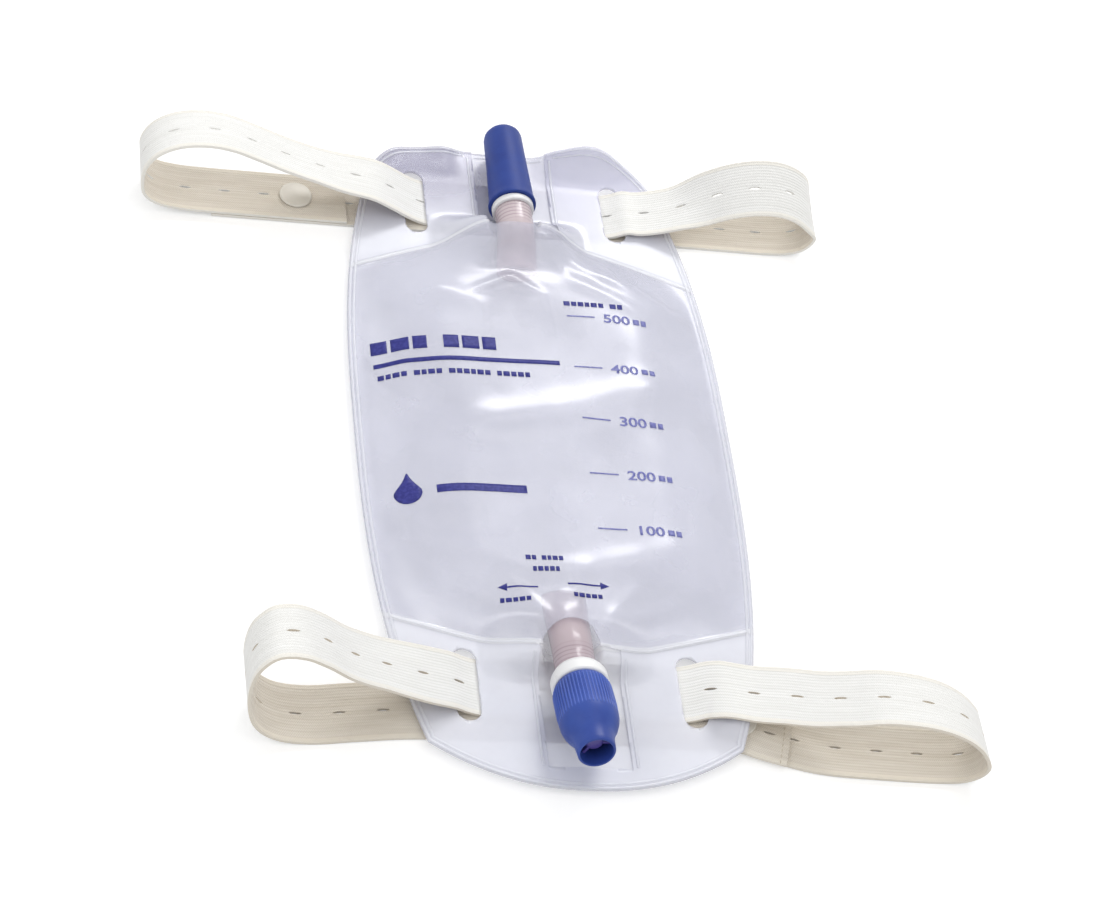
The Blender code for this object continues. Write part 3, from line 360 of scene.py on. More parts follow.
# %% [markdown]
# ## The shape of the film
#
# Two sheets lie on each other and are welded along their edges, so one height function can
# describe both: flat flaps at the ends, a low pillow over the chamber, and a rise to the middle
# of each soft tube, where the sheets are welded to it. Simulated cloth would wander away from
# the rigid model, so the film is laid on that function, and its creases are added as long soft
# ridges where the photograph shows them.

# %% Film sizes
GAP = 0.0003
FILM = 0.0003
STRAP_THICK = 0.0011
BACK_Z = 2 * STRAP_THICK + 2 * GAP
FRONT_Z = BACK_Z + FILM + GAP
HALF_WIDTH, HALF_TOP, HALF_BOTTOM, WIDEST_Y = 0.066, 0.0525, 0.051, 0.025
TOP_Y, TOP_DROP = 0.147, 0.012
BOTTOM_Y, BOTTOM_RISE = -0.1255, 0.016
TOP_CORNER, BOTTOM_CORNER = TOP_Y - TOP_DROP, BOTTOM_Y + BOTTOM_RISE
INLET_WELD, OUTLET_WELD, NECK = 0.105, -0.076, 0.010
SHOULDER_DROP, FUNNEL_RISE = 0.019, 0.0135
SHOULDER_CURVE, FUNNEL_CURVE = 1.25, 1.1
SIDE_WELD, SIDE_SLOPE, END_SLOPE = 0.004, 0.034, 0.030
CHAMBER_RISE, BACK_SAG = 0.0095, 0.0062
LOWER_BUTTON = 0.0515
UPPER_SIDE, LOWER_SIDE = INLET_WELD - SHOULDER_DROP, OUTLET_WELD + FUNNEL_RISE
WINDOW_HALF = 0.0135
INLET_ANGLE, OUTLET_ANGLE = math.radians(1.0), math.radians(14.0)
INLET_AT = Vector((-0.0035, 0.112, 0.0034 + 0.0086 + 0.034 * math.sin(INLET_ANGLE)))
OUTLET_AT = Vector((-0.003, -0.0947, 0.0034 + 0.0092 * math.cos(OUTLET_ANGLE)
                    + 0.0040 * math.sin(OUTLET_ANGLE)))


def smooth_step(start, end, value):
    """0 before start, 1 after end, and a smooth ramp between."""
    t = min(max((value - start) / (end - start), 0.0), 1.0)
    return t * t * (3 - 2 * t)


def bell(distance, spread):
    """A bell curve of height 1."""
    return math.exp(-(distance / spread) ** 2)


def mix(a, b, t):
    """Straight blend from a to b."""
    return a + (b - a) * t


def spaced(start, end, count):
    """Evenly spaced numbers from start to end, with both of them."""
    return [mix(start, end, step / count) for step in range(count + 1)]


def soft_max(a, b, blend):
    """The greater of two heights, with the corner between them rounded."""
    h = min(max(0.5 + 0.5 * (a - b) / blend, 0.0), 1.0)
    return mix(b, a, h) + blend * h * (1 - h)


# %% Outline and welds
def half_width(y):
    """Half the bag's width at a height y."""
    if y > WIDEST_Y:
        t = (y - WIDEST_Y) / (TOP_CORNER - WIDEST_Y)
        return HALF_WIDTH - (HALF_WIDTH - HALF_TOP) * t ** 2.5
    t = (WIDEST_Y - y) / (WIDEST_Y - BOTTOM_CORNER)
    return HALF_WIDTH - (HALF_WIDTH - HALF_BOTTOM) * t ** 3


def upper_seam(x):
    """The weld that closes the chamber at the top."""
    t = max(abs(x) - NECK, 0.0) / (half_width(UPPER_SIDE) - NECK)
    return INLET_WELD - SHOULDER_DROP * t ** SHOULDER_CURVE


def lower_seam(x):
    """The weld that closes the chamber at the bottom."""
    t = max(abs(x) - NECK, 0.0) / (half_width(LOWER_SIDE) - NECK)
    return OUTLET_WELD + FUNNEL_RISE * t ** FUNNEL_CURVE


def film_point(u, v):
    """Place on the film: u from -1 to 1 across, v from 0 to 3 through flap, chamber and flap."""
    lines = ((BOTTOM_CORNER, BOTTOM_Y + BOTTOM_RISE * abs(u) ** 2.2),
             (LOWER_SIDE, lower_seam(u * half_width(LOWER_SIDE))),
             (UPPER_SIDE, upper_seam(u * half_width(UPPER_SIDE))),
             (TOP_CORNER, TOP_Y - TOP_DROP * abs(u) ** 7))
    part = min(int(v), 2)
    (side_low, low), (side_high, high) = lines[part:part + 2]
    return u * half_width(mix(side_low, side_high, v - part)), mix(low, high, v - part)


def fullness(x, y):
    """How far the chamber stands up at a point: 0 on its welds and 1 in the middle."""
    full = 1.0
    for reach in ((upper_seam(x) - y) / END_SLOPE, (y - lower_seam(x)) / END_SLOPE,
                  (half_width(y) - SIDE_WELD - abs(x)) / SIDE_SLOPE):
        full *= math.sin(math.pi / 2 * min(max(reach, 0.0), 1.0))
    return full


# %% Soft tubes between the sheets
TUBE_RADIUS, TUBE_WALL, TUBE_STRAIGHT = 0.0066, 0.0012, 0.0075
FLAT_HALF_WIDE, FLAT_HALF_HIGH = 0.0074, 0.0042
FLOOR_Z = BACK_Z + FILM + GAP


class Port:
    """One soft tube. Distances run outwards, from the chamber to the fitting."""

    def __init__(self, side, weld, inner_end, at, angle, back):
        self.side, self.weld, self.inner_end, self.angle = side, weld, inner_end, angle
        self.x = at.x
        self.joint = side * at.y - back * math.cos(angle)
        self.joint_z = at.z + side * back * math.sin(angle)
        self.slope = -side * math.tan(angle)

    def section(self, outward):
        """Centre height, half width and half height of the tube."""
        ease = smooth_step(self.inner_end, self.joint - TUBE_STRAIGHT, outward) ** 1.3
        axis_z = self.joint_z + self.slope * (outward - self.joint)
        half_wide = mix(FLAT_HALF_WIDE, TUBE_RADIUS, ease)
        half_high = mix(FLAT_HALF_HIGH, TUBE_RADIUS, ease)
        lowest = FLOOR_Z + GAP + half_high
        return max(mix(lowest, axis_z, ease), lowest), half_wide, half_high

    def lift(self, x, y):
        """Rise of both sheets to the middle of the tube."""
        outward = self.side * y
        along = smooth_step(self.weld - 0.025, self.weld - 0.007, outward)
        along *= 1 - smooth_step(self.weld + 0.001, self.weld + 0.010, outward)
        across = 1 - smooth_step(0.009, 0.030, abs(x - self.x))
        return (self.section(outward)[0] - FRONT_Z) * along * across

    def over(self, x, y, margin=0.0011):
        """Height that the front sheet needs to pass over the tube."""
        outward = self.side * y
        centre, half_wide, half_high = self.section(min(max(outward, self.inner_end), self.joint))
        share = 1 - ((x - self.x) / (half_wide + margin)) ** 2
        if share <= 0:
            return 0.0
        fade = smooth_step(self.inner_end - 0.012, self.inner_end + 0.002, outward)
        fade *= 1 - smooth_step(self.weld + 0.001, self.weld + 0.006, outward)
        return (centre + (half_high + margin) * math.sqrt(share)) * fade

    def under(self, x, y):
        """Height below which the back sheet stays under the tube and its fitting."""
        outward = self.side * y
        if outward < self.inner_end - 0.004:
            return math.inf
        room = mix(0.0013, 0.0033, smooth_step(self.weld - 0.005, self.weld + 0.003, outward))
        centre, half_wide, half_high = self.section(outward)
        share = 1 - ((x - self.x) / (half_wide + room)) ** 2
        if share <= 0:
            return math.inf
        return centre - (half_high + room) * math.sqrt(share) - FILM


INLET = Port(1, INLET_WELD, 0.084, INLET_AT, INLET_ANGLE, 0.0024 + GAP)
OUTLET = Port(-1, -OUTLET_WELD, 0.056, OUTLET_AT, OUTLET_ANGLE, 0.0062 + GAP)

# %% [markdown]
# ### Creases
#
# Thin film never lies smooth. Long ridges run from the mouth of the inlet down into the chamber
# and from the outlet up, where the round tubes gather the flat film. Each ridge is a line with
# a height and a width. A little even noise makes the light wander between them.

# %% Creases
# start x, y, end x, y, height, half width, all in millimetres
CREASES = (
    (-21, 71, -8, 78, 0.8, 2.0), (-8, 78, 2, 71, 0.8, 2.0), (-14, 70, -8, 73, 0.4, 1.4),
    (-8, 73, -1, 70, 0.4, 1.4), (-50, 65, -35, 71, 1.1, 5.0), (-35, 71, -21, 65, 1.1, 4.5),
    (-9, 99, -16, 86, 0.8, 2.4), (4, 99, 12, 84, 0.7, 2.2), (10, 92, 34, 78, 0.9, 3.6),
    (26, 85, 58, 66, 0.9, 4.4), (14, 80, 40, 64, 0.5, 3.0), (-30, 90, -50, 76, 0.4, 2.6),
    (-24, 13, 6, 19, 1.0, 6.5), (6, 19, 36, 30, 1.1, 7.0), (36, 31, 60, 43, 0.9, 6.0),
    (-10, -51, 18, -44, 0.7, 5.5), (18, -44, 42, -36, 0.8, 6.0), (-44, 56, -52, 20, 0.4, 4.0),
    (50, 20, 55, -14, 0.5, 4.0), (-8, -70, -22, -52, 0.6, 2.4), (8, -70, 24, -50, 0.7, 2.6),
    (14, -66, 40, -56, 0.6, 2.4), (-14, -66, -38, -54, 0.5, 2.4), (0, -58, 4, -46, 0.4, 3.0),
    (-58, -20, -46, -34, 0.6, 4.0), (-52, -10, -44, -56, 0.5, 3.5), (48, -20, 42, -58, 0.5, 3.5),
)


def crease_height(x, y):
    """Sum of the ridges at a point, kept off the welds."""
    total = 0.0
    for x0, y0, x1, y1, height, half in CREASES:
        dx, dy = x1 - x0, y1 - y0
        length = math.hypot(dx, dy)
        px, py = x * 1000 - x0, y * 1000 - y0
        along = (px * dx + py * dy) / length ** 2
        across = (px * dy - py * dx) / length
        if -0.6 < along < 1.6:
            fade = smooth_step(-0.35, 0.2, along) * (1 - smooth_step(0.7, 1.35, along))
            total += height * fade * bell(across, half)
    return total / 1000


def ripple(x, y):
    """Small even unevenness of thin film."""
    wide = noise.noise(Vector((x * 26, y * 18, 3.7)))
    fine = noise.noise(Vector((x * 90, y * 55, 8.1)))
    return 0.0007 * wide + 0.00018 * fine


# %% Heights of the two sheets
CURL_START, CURL_RISE = 0.133, 0.0024
# middle, spread and height of each wave along the top edge
TOP_WAVES = ((0.031, 0.013, 0.007), (-0.051, 0.009, 0.004), (-0.035, 0.008, -0.0015))
BUTTON_Y, BUTTON_SPREAD, BUTTON_RISE = -0.0975, 0.008, 0.0029
SLOPE_REACH, TUBE_BLEND, TABLE_BLEND = 0.0015, 0.0012, 0.0024


def flap_wave(x, y):
    """Curled corners of the upper flap, and the low rise over the button under the lower one."""
    curl = max(y - CURL_START, 0.0) / (TOP_Y - CURL_START)
    wave = CURL_RISE * smooth_step(0.012, 0.022, abs(x - INLET_AT.x))
    wave += sum(rise * bell(x - middle, spread) for middle, spread, rise in TOP_WAVES)
    button = bell(x - LOWER_BUTTON, BUTTON_SPREAD) * bell(y - BUTTON_Y, BUTTON_SPREAD)
    return max(wave, 0.0) * curl ** 2 + BUTTON_RISE * button


def weld_plane(x, y):
    """Rise of both sheets above the level of the flaps."""
    return flap_wave(x, y) + INLET.lift(x, y) + OUTLET.lift(x, y)


def front_height(x, y):
    """Underside of the front sheet."""
    full = fullness(x, y)
    height = FRONT_Z + weld_plane(x, y) + CHAMBER_RISE * full
    height += (crease_height(x, y) + ripple(x, y)) * smooth_step(0.0, 0.35, full)
    height = soft_max(height, INLET.over(x, y), TUBE_BLEND)
    return soft_max(height, OUTLET.over(x, y), TUBE_BLEND)


def back_height(x, y):
    """Underside of the back sheet, which keeps clear of the front one where both are steep."""
    across = weld_plane(x + SLOPE_REACH, y) - weld_plane(x - SLOPE_REACH, y)
    along = weld_plane(x, y + SLOPE_REACH) - weld_plane(x, y - SLOPE_REACH)
    steep = math.hypot(1, across / (2 * SLOPE_REACH), along / (2 * SLOPE_REACH))
    height = BACK_Z + weld_plane(x, y) - 2 * (FRONT_Z - BACK_Z) * (steep - 1)
    height = max(min(height, INLET.under(x, y), OUTLET.under(x, y)), BACK_Z)
    return soft_max(height - BACK_SAG * fullness(x, y), 0.0, TABLE_BLEND)


print("front sheet at the middle:", round(front_height(0, 0) * 1000, 1), "mm up")

# %% [markdown]
# ### Laying the sheets
#
# Each sheet is an even grid moved on to its height function, given its real thickness by
# Solidify, and then cut: round-ended slots for the straps in both, and in the front one a window
# round each tube. The cuts are Booleans, because a grid can't follow a round end.

# %% Lay and cut the sheets
COLUMNS, ROWS = 132, (32, 156, 38)
SLOT_X, SLOT_HALF, SLOT_REACH = 0.037, 0.004, 0.0135
UPPER_SLOT, LOWER_SLOT = 0.121, -0.088
TORN_LONGER = 0.0014  # the strap has pulled the upper left slot longer
BITE_HALF, BITE_DEEP, PAST_EDGE = 0.0095, 0.007, 0.008


def lay_film(name, height):
    """A dense grid on a height function, thickened upwards."""
    rows = [part + step / count for part, count in enumerate(ROWS) for step in range(count)]
    rows.append(len(ROWS))
    bm = bmesh.new()
    bmesh.ops.create_grid(bm, x_segments=COLUMNS, y_segments=len(rows) - 1, size=1.0)
    for vertex in bm.verts:
        row = round((vertex.co.y + 1) / 2 * (len(rows) - 1))
        x, y = film_point(vertex.co.x, rows[row])
        vertex.co = (x, y, height(x, y))
    sheet = mesh_object(name, bm)
    wall = sheet.modifiers.new("wall", "SOLIDIFY")
    wall.thickness, wall.offset, wall.use_even_offset = FILM, 1.0, True
    return sheet


def slot_outline(x, y, reach=SLOT_REACH):
    """A long slot with round ends."""
    points = []
    for end, start in ((1, 0.0), (-1, math.pi)):
        for angle in spaced(start, start + math.pi, 12):
            points.append((x + SLOT_HALF * math.cos(angle),
                           y + end * (reach - SLOT_HALF) + SLOT_HALF * math.sin(angle)))
    return points


def window_outline(port, weld, far):
    """A window that runs back over the tube in a round bite."""
    points = [(WINDOW_HALF, far), (-WINDOW_HALF, far), (-WINDOW_HALF, weld)]
    for angle in spaced(0, math.pi, 24):
        points.append((port.x - BITE_HALF * math.cos(angle),
                       weld - port.side * BITE_DEEP * math.sin(angle)))
    return points + [(WINDOW_HALF, weld)]


def cutter(name, outlines, low, high):
    """Closed blocks over flat outlines, to cut with."""
    bm = bmesh.new()
    for outline in outlines:
        face = bm.faces.new([bm.verts.new((x, y, low)) for x, y in outline])
        for item in bmesh.ops.extrude_face_region(bm, geom=[face])["geom"]:
            if isinstance(item, bmesh.types.BMVert):
                item.co.z = high
    bmesh.ops.recalc_face_normals(bm, faces=bm.faces)
    return mesh_object(name, bm)


def cut_film(name, height, tools):
    """Lay a sheet, cut it with closed tools and keep the result as a plain mesh."""
    sheet = lay_film(name, height)
    for tool in tools:
        cut = sheet.modifiers.new(tool.name, "BOOLEAN")
        cut.operation, cut.solver, cut.object = "DIFFERENCE", "EXACT", tool
    old, mesh = sheet.data, evaluated_mesh(sheet, "cut")
    sheet.modifiers.clear()
    sheet.data = mesh
    bpy.data.meshes.remove(old)
    mesh.name = name
    print(name, len(mesh.polygons), "faces")
    return sheet


slots = [slot_outline(SLOT_X, UPPER_SLOT), slot_outline(SLOT_X, LOWER_SLOT),
         slot_outline(-SLOT_X, LOWER_SLOT),
         slot_outline(-SLOT_X, UPPER_SLOT - TORN_LONGER, SLOT_REACH + TORN_LONGER)]
windows = [window_outline(INLET, INLET_WELD, TOP_Y + PAST_EDGE),
           window_outline(OUTLET, OUTLET_WELD, BOTTOM_Y + PAST_EDGE)]
slot_tool = cutter("slot_tool", slots, -0.002, 0.010)
window_tool = cutter("window_tool", windows, FRONT_Z - GAP / 2, 0.040)
film_front = cut_film("film_front", front_height, (slot_tool, window_tool))
film_back = cut_film("film_back", back_height, (slot_tool,))
for tool in (slot_tool, window_tool):
    bpy.data.objects.remove(tool, do_unlink=True)

# %% [markdown]
# ### Film finish
#
# The film is soft plastic: milky lavender, glossy, and clear enough to show the straps that pass
# below it. A low alpha on each of its four surfaces adds up the way real layers do. The pressed
# welds are brighter, so the finish works out how far each point is from a weld, in the same
# formulas that shape the sheet.

# %% Film material
MILK, DENSE_MILK = (0.66, 0.67, 0.79, 1), (0.74, 0.75, 0.87, 1)
FLAP_WHITE, WELD_WHITE = (0.89, 0.90, 0.98, 1), (0.92, 0.93, 0.98, 1)
PAINTED_SHADE_TOP_LEFT, PAINTED_SHADE_TOP_RIGHT = (0.46, 0.45, 0.60, 1), (0.68, 0.68, 0.83, 1)


def film_material():
    """Milky clear film, whiter on its flaps and welds, with painted shade darkening its top edge.
    """
    film = Wiring("clear_film")
    place = film.place()
    x, y, _ = film.parts(place)
    reach = film.math("MAXIMUM", abs(x) - NECK, 0.0)
    upper = reach / (half_width(UPPER_SIDE) - NECK)
    upper = INLET_WELD - upper ** SHOULDER_CURVE * SHOULDER_DROP
    lower = reach / (half_width(LOWER_SIDE) - NECK)
    lower = OUTLET_WELD + lower ** FUNNEL_CURVE * FUNNEL_RISE
    off_weld = film.math("MINIMUM", abs(y - upper), abs(y - lower))
    weld = film.ramp(off_weld, 0.0006, 0.0013, 1.0, 0.0)
    flaps = film.ramp(y - upper, -0.004, 0.004) + film.ramp(lower - y, -0.004, 0.004)
    cloud = film.noise(place, 34.0, 4.0)
    fine = film.noise(place, 420.0, 2.0)
    colour = film.blend(film.ramp(cloud, 0.35, 0.65), MILK, DENSE_MILK)
    colour = film.blend(flaps, colour, FLAP_WHITE)
    # Painted shade: the top edge of the upper flap is darkened, most on the left.
    top = film.blend(film.ramp(x, -0.03, 0.03), PAINTED_SHADE_TOP_LEFT, PAINTED_SHADE_TOP_RIGHT)
    colour = film.blend(film.ramp(y, 0.100, 0.138), colour, top)
    return film.finish(
        Base_Color=film.blend(weld, colour, WELD_WHITE),
        Alpha=film.ramp(cloud, 0.3, 0.7, 0.27, 0.33) + flaps * 0.10 + weld * 0.10,
        Roughness=film.ramp(cloud, 0.3, 0.7, 0.18, 0.27),
        Normal=film.bump(fine * 0.03 + weld, 0.00025), IOR=1.5, Specular_IOR_Level=1.0)


clear_film = film_material()
for sheet, node in ((film_front, "front_film"), (film_back, "back_film")):
    sheet.data.materials.clear()
    sheet.data.materials.append(clear_film)
    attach(sheet, "bag")
    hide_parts(node)

# %% [markdown]
# ## Weld beads
#
# Hot bars press a narrow bead along the outline, across both ends of the chamber and down each
# side of the two windows. A bead follows a path, so one Geometry Nodes tree sweeps the same flat
# profile along every path.

# %% Weld beads
BEAD_INSET, BEAD_HALF_WIDE, BEAD_HALF_HIGH = 0.0022, 0.0005, 0.00016
BESIDE_WINDOW, BEAD_OFF_WINDOW = 0.001, 0.0018
WINDOW_BEADS = ((0.1075, 0.1440), (-0.0785, -0.1170))  # from y, to y


def swept_tree(name, material):
    """A tree that sweeps a flattened round profile along curves."""
    tree = Tree(name, {"Half width": 0.0008, "Half height": 0.0002})
    circle = tree.node("GeometryNodeCurvePrimitiveCircle", {"Resolution": 8, "Radius": 1.0})
    size = tree.node("ShaderNodeCombineXYZ", {
        0: tree.start["Half width"], 1: tree.start["Half height"], 2: 1.0})
    profile = tree.node("GeometryNodeTransform", {
        "Geometry": circle.outputs["Curve"], "Scale": size.outputs[0]})
    sweep = tree.node("GeometryNodeCurveToMesh", {
        "Curve": tree.start["Geometry"], "Profile Curve": profile.outputs["Geometry"],
        "Fill Caps": True})
    return tree.close(sweep.outputs["Mesh"], material)


def path_curve(name, paths):
    """A curve object with one open line for each list of points."""
    data = bpy.data.curves.new(name, "CURVE")
    data.dimensions = "3D"
    data.twist_mode = "Z_UP"
    for points in paths:
        spline = data.splines.new("POLY")
        spline.points.add(len(points) - 1)
        for target, point in zip(spline.points, points):
            target.co = (*point, 1.0)
    return in_scene(bpy.data.objects.new(name, data))


def on_front(x, y, above=0.0):
    """A point on top of the front sheet."""
    return (x, y, front_height(x, y) + FILM + above)


def on_back(x, y):
    """A point on top of the back sheet."""
    return (x, y, back_height(x, y) + FILM)


def outline_points(inset):
    """The bag's outline on its front sheet, from one side of the inlet's window to the other."""
    beside = WINDOW_HALF / HALF_TOP + 0.06
    corners = ((-beside, 3), (-1, 3), (-1, 0), (1, 0), (1, 3), (beside, 3))
    edge = []
    for (u0, v0), (u1, v1), count in zip(corners, corners[1:], (60, 300, 120, 300, 60)):
        edge += [film_point(u, v) for u, v in zip(spaced(u0, u1, count), spaced(v0, v1, count))]
        edge.pop()
    edge.append(film_point(*corners[-1]))
    points = []
    for i, (x, y) in enumerate(edge):
        before, after = Vector(edge[max(i - 4, 0)]), Vector(edge[min(i + 4, len(edge) - 1)])
        way = (after - before).normalized()
        points.append(on_front(x - way.y * inset, y + way.x * inset))
    return points


def seam_points(seam, from_x, to_x):
    """Points along one of the two inner welds."""
    return [on_front(x, seam(x)) for x in spaced(from_x, to_x, 90)]


bead = speckled("weld_bead", 300.0, (0.84, 0.85, 0.93, 1), (0.93, 0.94, 0.98, 1),
                Alpha=0.45, Roughness=0.2, IOR=1.5, Specular_IOR_Level=0.8)
bead_paths = []
for seam, side_y in ((upper_seam, UPPER_SIDE), (lower_seam, LOWER_SIDE)):
    near, far = WINDOW_HALF + BESIDE_WINDOW, half_width(side_y) - BEAD_INSET
    bead_paths += [seam_points(seam, -far, -near), seam_points(seam, near, far)]
bead_paths += [outline_points(inset) for inset in (BEAD_INSET, BEAD_INSET / 3)]
top_edge = [film_point(u, 3.0) for u in spaced(-0.24, 0.24, 30)]
bead_paths.append([on_back(x, y - BEAD_INSET) for x, y in top_edge])
for x in (-WINDOW_HALF - BEAD_OFF_WINDOW, WINDOW_HALF + BEAD_OFF_WINDOW):
    for from_y, to_y in WINDOW_BEADS:
        bead_paths.append([on_front(x, y) for y in spaced(from_y, to_y, 40)])
weld_beads = run_tree(
    path_curve("bead_paths", bead_paths), swept_tree("bead_tree", bead), "weld_beads",
    {"Half width": BEAD_HALF_WIDE, "Half height": BEAD_HALF_HIGH})
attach(weld_beads, "bag")

# %% [markdown]
# ## Print
#
# The front sheet carries graduations and a few plain marks in blue ink. Ink is a film of its own
# on the surface. Each mark starts as a flat face, numbers as text turned into a mesh. It is sliced
# finely enough to follow the pillow, laid on the sheet's height function and given a hair of
# thickness.

# %% Print
INK_ABOVE, INK_THICK, INK_SLICE = 0.00006, 0.00004, 0.0015
TEXT_SIZE, TEXT_WIDER, TEXT_BOLDER = 1.4, 1.25, 0.00009


def ink_material(name, dark, pale):
    """Printed ink, a little uneven."""
    ink = Wiring(name)
    cover = ink.noise(ink.place(), 900.0)
    return ink.finish(Base_Color=ink.blend(ink.ramp(cover, 0.35, 0.7), dark, pale),
                      Roughness=0.5, Specular_IOR_Level=0.3)


def lay_ink(name, bm, material):
    """Slice flat shapes finely, lay them on the film and give them thickness."""
    for axis, normal in enumerate((Vector((1, 0, 0)), Vector((0, 1, 0)))):
        low = min(vertex.co[axis] for vertex in bm.verts)
        high = max(vertex.co[axis] for vertex in bm.verts)
        cut = math.ceil(low / INK_SLICE) * INK_SLICE
        while cut < high:
            bmesh.ops.bisect_plane(bm, geom=bm.verts[:] + bm.edges[:] + bm.faces[:],
                                   plane_co=normal * cut, plane_no=normal, dist=0.000001)
            cut += INK_SLICE
    bmesh.ops.triangulate(bm, faces=bm.faces)
    bmesh.ops.recalc_face_normals(bm, faces=bm.faces)
    down = [face for face in bm.faces if face.normal.z < 0]
    bmesh.ops.reverse_faces(bm, faces=down)
    for vertex in bm.verts:
        vertex.co = on_front(vertex.co.x, vertex.co.y, INK_ABOVE)
    ink = mesh_object(name, bm, material)
    wall = ink.modifiers.new("thickness", "SOLIDIFY")
    wall.thickness, wall.offset = INK_THICK, 1.0
    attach(ink, "bag")
    print(name, len(ink.data.polygons), "faces")


def add_face(bm, points):
    """A flat face of ink through points in millimetres."""
    bm.faces.new([bm.verts.new((x / 1000, y / 1000, 0)) for x, y in points])


def add_bar(bm, x0, y0, x1, y1, height):
    """A straight bar from one point to another."""
    start, end = Vector((x0, y0)), Vector((x1, y1))
    way = (end - start).normalized()
    side = Vector((-way.y, way.x)) * height / 2
    add_face(bm, (start - side, end - side, end + side, start + side))


def add_arrow(bm, tail, tip, y):
    """A thin arrow along a line, with a solid head."""
    way = 1 if tip > tail else -1
    add_bar(bm, tail, y, tip - way * 2.0, y, 0.6)
    add_face(bm, ((tip, y), (tip - way * 3.0, y + 1.3), (tip - way * 3.0, y - 1.3)))


def add_drop(bm, x, y, wide, high, count=28):
    """A drop, drawn to a point at the top."""
    points = []
    for angle in spaced(0, 2 * math.pi, count)[:-1]:
        up = math.sin(angle)
        narrow = 1 - 0.75 * smooth_step(-0.2, 1.0, up)
        points.append((x + wide * math.cos(angle) * narrow,
                       y + high * up * (1 + 0.35 * max(up, 0))))
    add_face(bm, points)


def add_text(bm, words, x, y, height):
    """A number, as flat faces."""
    data = bpy.data.curves.new("number", "FONT")
    data.body, data.size, data.offset = words, height / 1000 * TEXT_SIZE, TEXT_BOLDER
    text = in_scene(bpy.data.objects.new("number", data))
    mesh = evaluated_mesh(text, "number")
    wider = Matrix.Diagonal((TEXT_WIDER, 1, 1, 1))
    mesh.transform(Matrix.Translation((x / 1000, y / 1000, 0)) @ wider)
    bm.from_mesh(mesh)
    bpy.data.objects.remove(text, do_unlink=True)
    bpy.data.meshes.remove(mesh)


def add_blocks(bm, x, y, height, block, space, groups):
    """A row of plain blocks in groups, as wide and heavy as a printed line."""
    for group in groups:
        for index in range(group):
            wide = block * (1.0, 0.8, 1.1, 0.9)[(index + group) % 4]
            add_bar(bm, x, y, x + wide, y, height)
            x += wide + space
        x += 2.2 * space + 0.3 * block


# start x, y, height, block width, space and groups of each printed line, in millimetres
BLOCK_ROWS = (
    (10.0, 66.8, 2.0, 2.0, 0.55, (6, 2)), (-58.5, 46.3, 5.6, 5.9, 1.2, (3, 3)),
    (-57.0, 33.0, 2.1, 2.0, 0.55, (4, 4, 6, 5)), (-15.5, -44.5, 1.8, 1.5, 0.45, (2, 4)),
    (-13.5, -49.0, 1.8, 1.5, 0.45, (5,)), (-25.0, -60.5, 1.6, 1.7, 0.45, (5,)),
    (-1.0, -58.5, 1.6, 1.7, 0.45, (5,)),
)
SCALE_TOP, SCALE_STEP = 61.0, 23.0

dark_ink = ink_material("dark_ink", (0.022, 0.024, 0.19, 1), (0.040, 0.044, 0.26, 1))
pale_ink = ink_material("pale_ink", (0.14, 0.15, 0.42, 1), (0.24, 0.25, 0.52, 1))

bm = bmesh.new()
for index, volume in enumerate((500, 400, 300, 200, 100)):
    y = SCALE_TOP - SCALE_STEP * index
    add_bar(bm, 10.5, y, 20.5, y, 0.55)
    add_text(bm, str(volume), 23.5, y - 1.9, 3.8)
    add_blocks(bm, 34.6, y - 0.2, 2.4, 2.1, 0.7, (2,))
lay_ink("scale_print", bm, pale_ink)

bm = bmesh.new()
for row in BLOCK_ROWS:
    add_blocks(bm, *row)
add_bar(bm, -58.0, 38.4, 5.5, 39.2, 1.9)
add_arrow(bm, -12.5, -25.5, -55.8)
add_arrow(bm, -2.5, 11.5, -54.2)
add_drop(bm, -51.0, -16.5, 4.6, 5.4)
add_bar(bm, -42.0, -17.0, -12.0, -16.6, 3.2)
lay_ink("marks_print", bm, dark_ink)

# %% [markdown]
# ## Soft tubes and the sleeve
#
# A soft tube is round where it grips its fitting and flattened where the two sheets grip it. That
# is a loft through changing ovals, and the same loft with a thinner wall makes the sleeve inside
# the chamber that lets liquid in and not back.

# %% Tubes and sleeve
AROUND, TUBE_RINGS = 64, 26
RING_PITCH = 0.00165  # the barbs of both connectors show through the tubes
INLET_ROSE, PALE_ROSE = (0.86, 0.72, 0.75, 1), (0.95, 0.84, 0.86, 1)
OUTLET_ROSE, BARB_SHADE = (0.70, 0.59, 0.63, 1), (0.34, 0.25, 0.30, 1)


def loft(name, port, stations, inner, outer, material):
    """A hollow loft. A station is an outward distance and, past the tube, its own section."""
    bm = bmesh.new()
    rings = []
    for outward, *own in stations:
        centre, half_wide, half_high = own or port.section(outward)
        lean = smooth_step(port.inner_end, port.joint, outward) * math.atan(port.slope)
        pair = []
        for wall in (outer, inner):
            ring = []
            for angle in spaced(0, 2 * math.pi, AROUND)[:-1]:
                up = (half_high + wall) * math.sin(angle)
                ring.append(bm.verts.new((port.x + (half_wide + wall) * math.cos(angle),
                                          port.side * (outward - up * math.sin(lean)),
                                          centre + up * math.cos(lean))))
            pair.append(ring)
        rings.append(pair)
    for step in range(AROUND):
        after = (step + 1) % AROUND
        for first, second in zip(rings, rings[1:]):
            for skin in (0, 1):
                bm.faces.new((first[skin][step], first[skin][after],
                              second[skin][after], second[skin][step]))
        for outside, inside in (rings[0], rings[-1]):
            bm.faces.new((outside[step], outside[after], inside[after], inside[step]))
    bmesh.ops.recalc_face_normals(bm, faces=bm.faces)
    return mesh_object(name, bm, material)


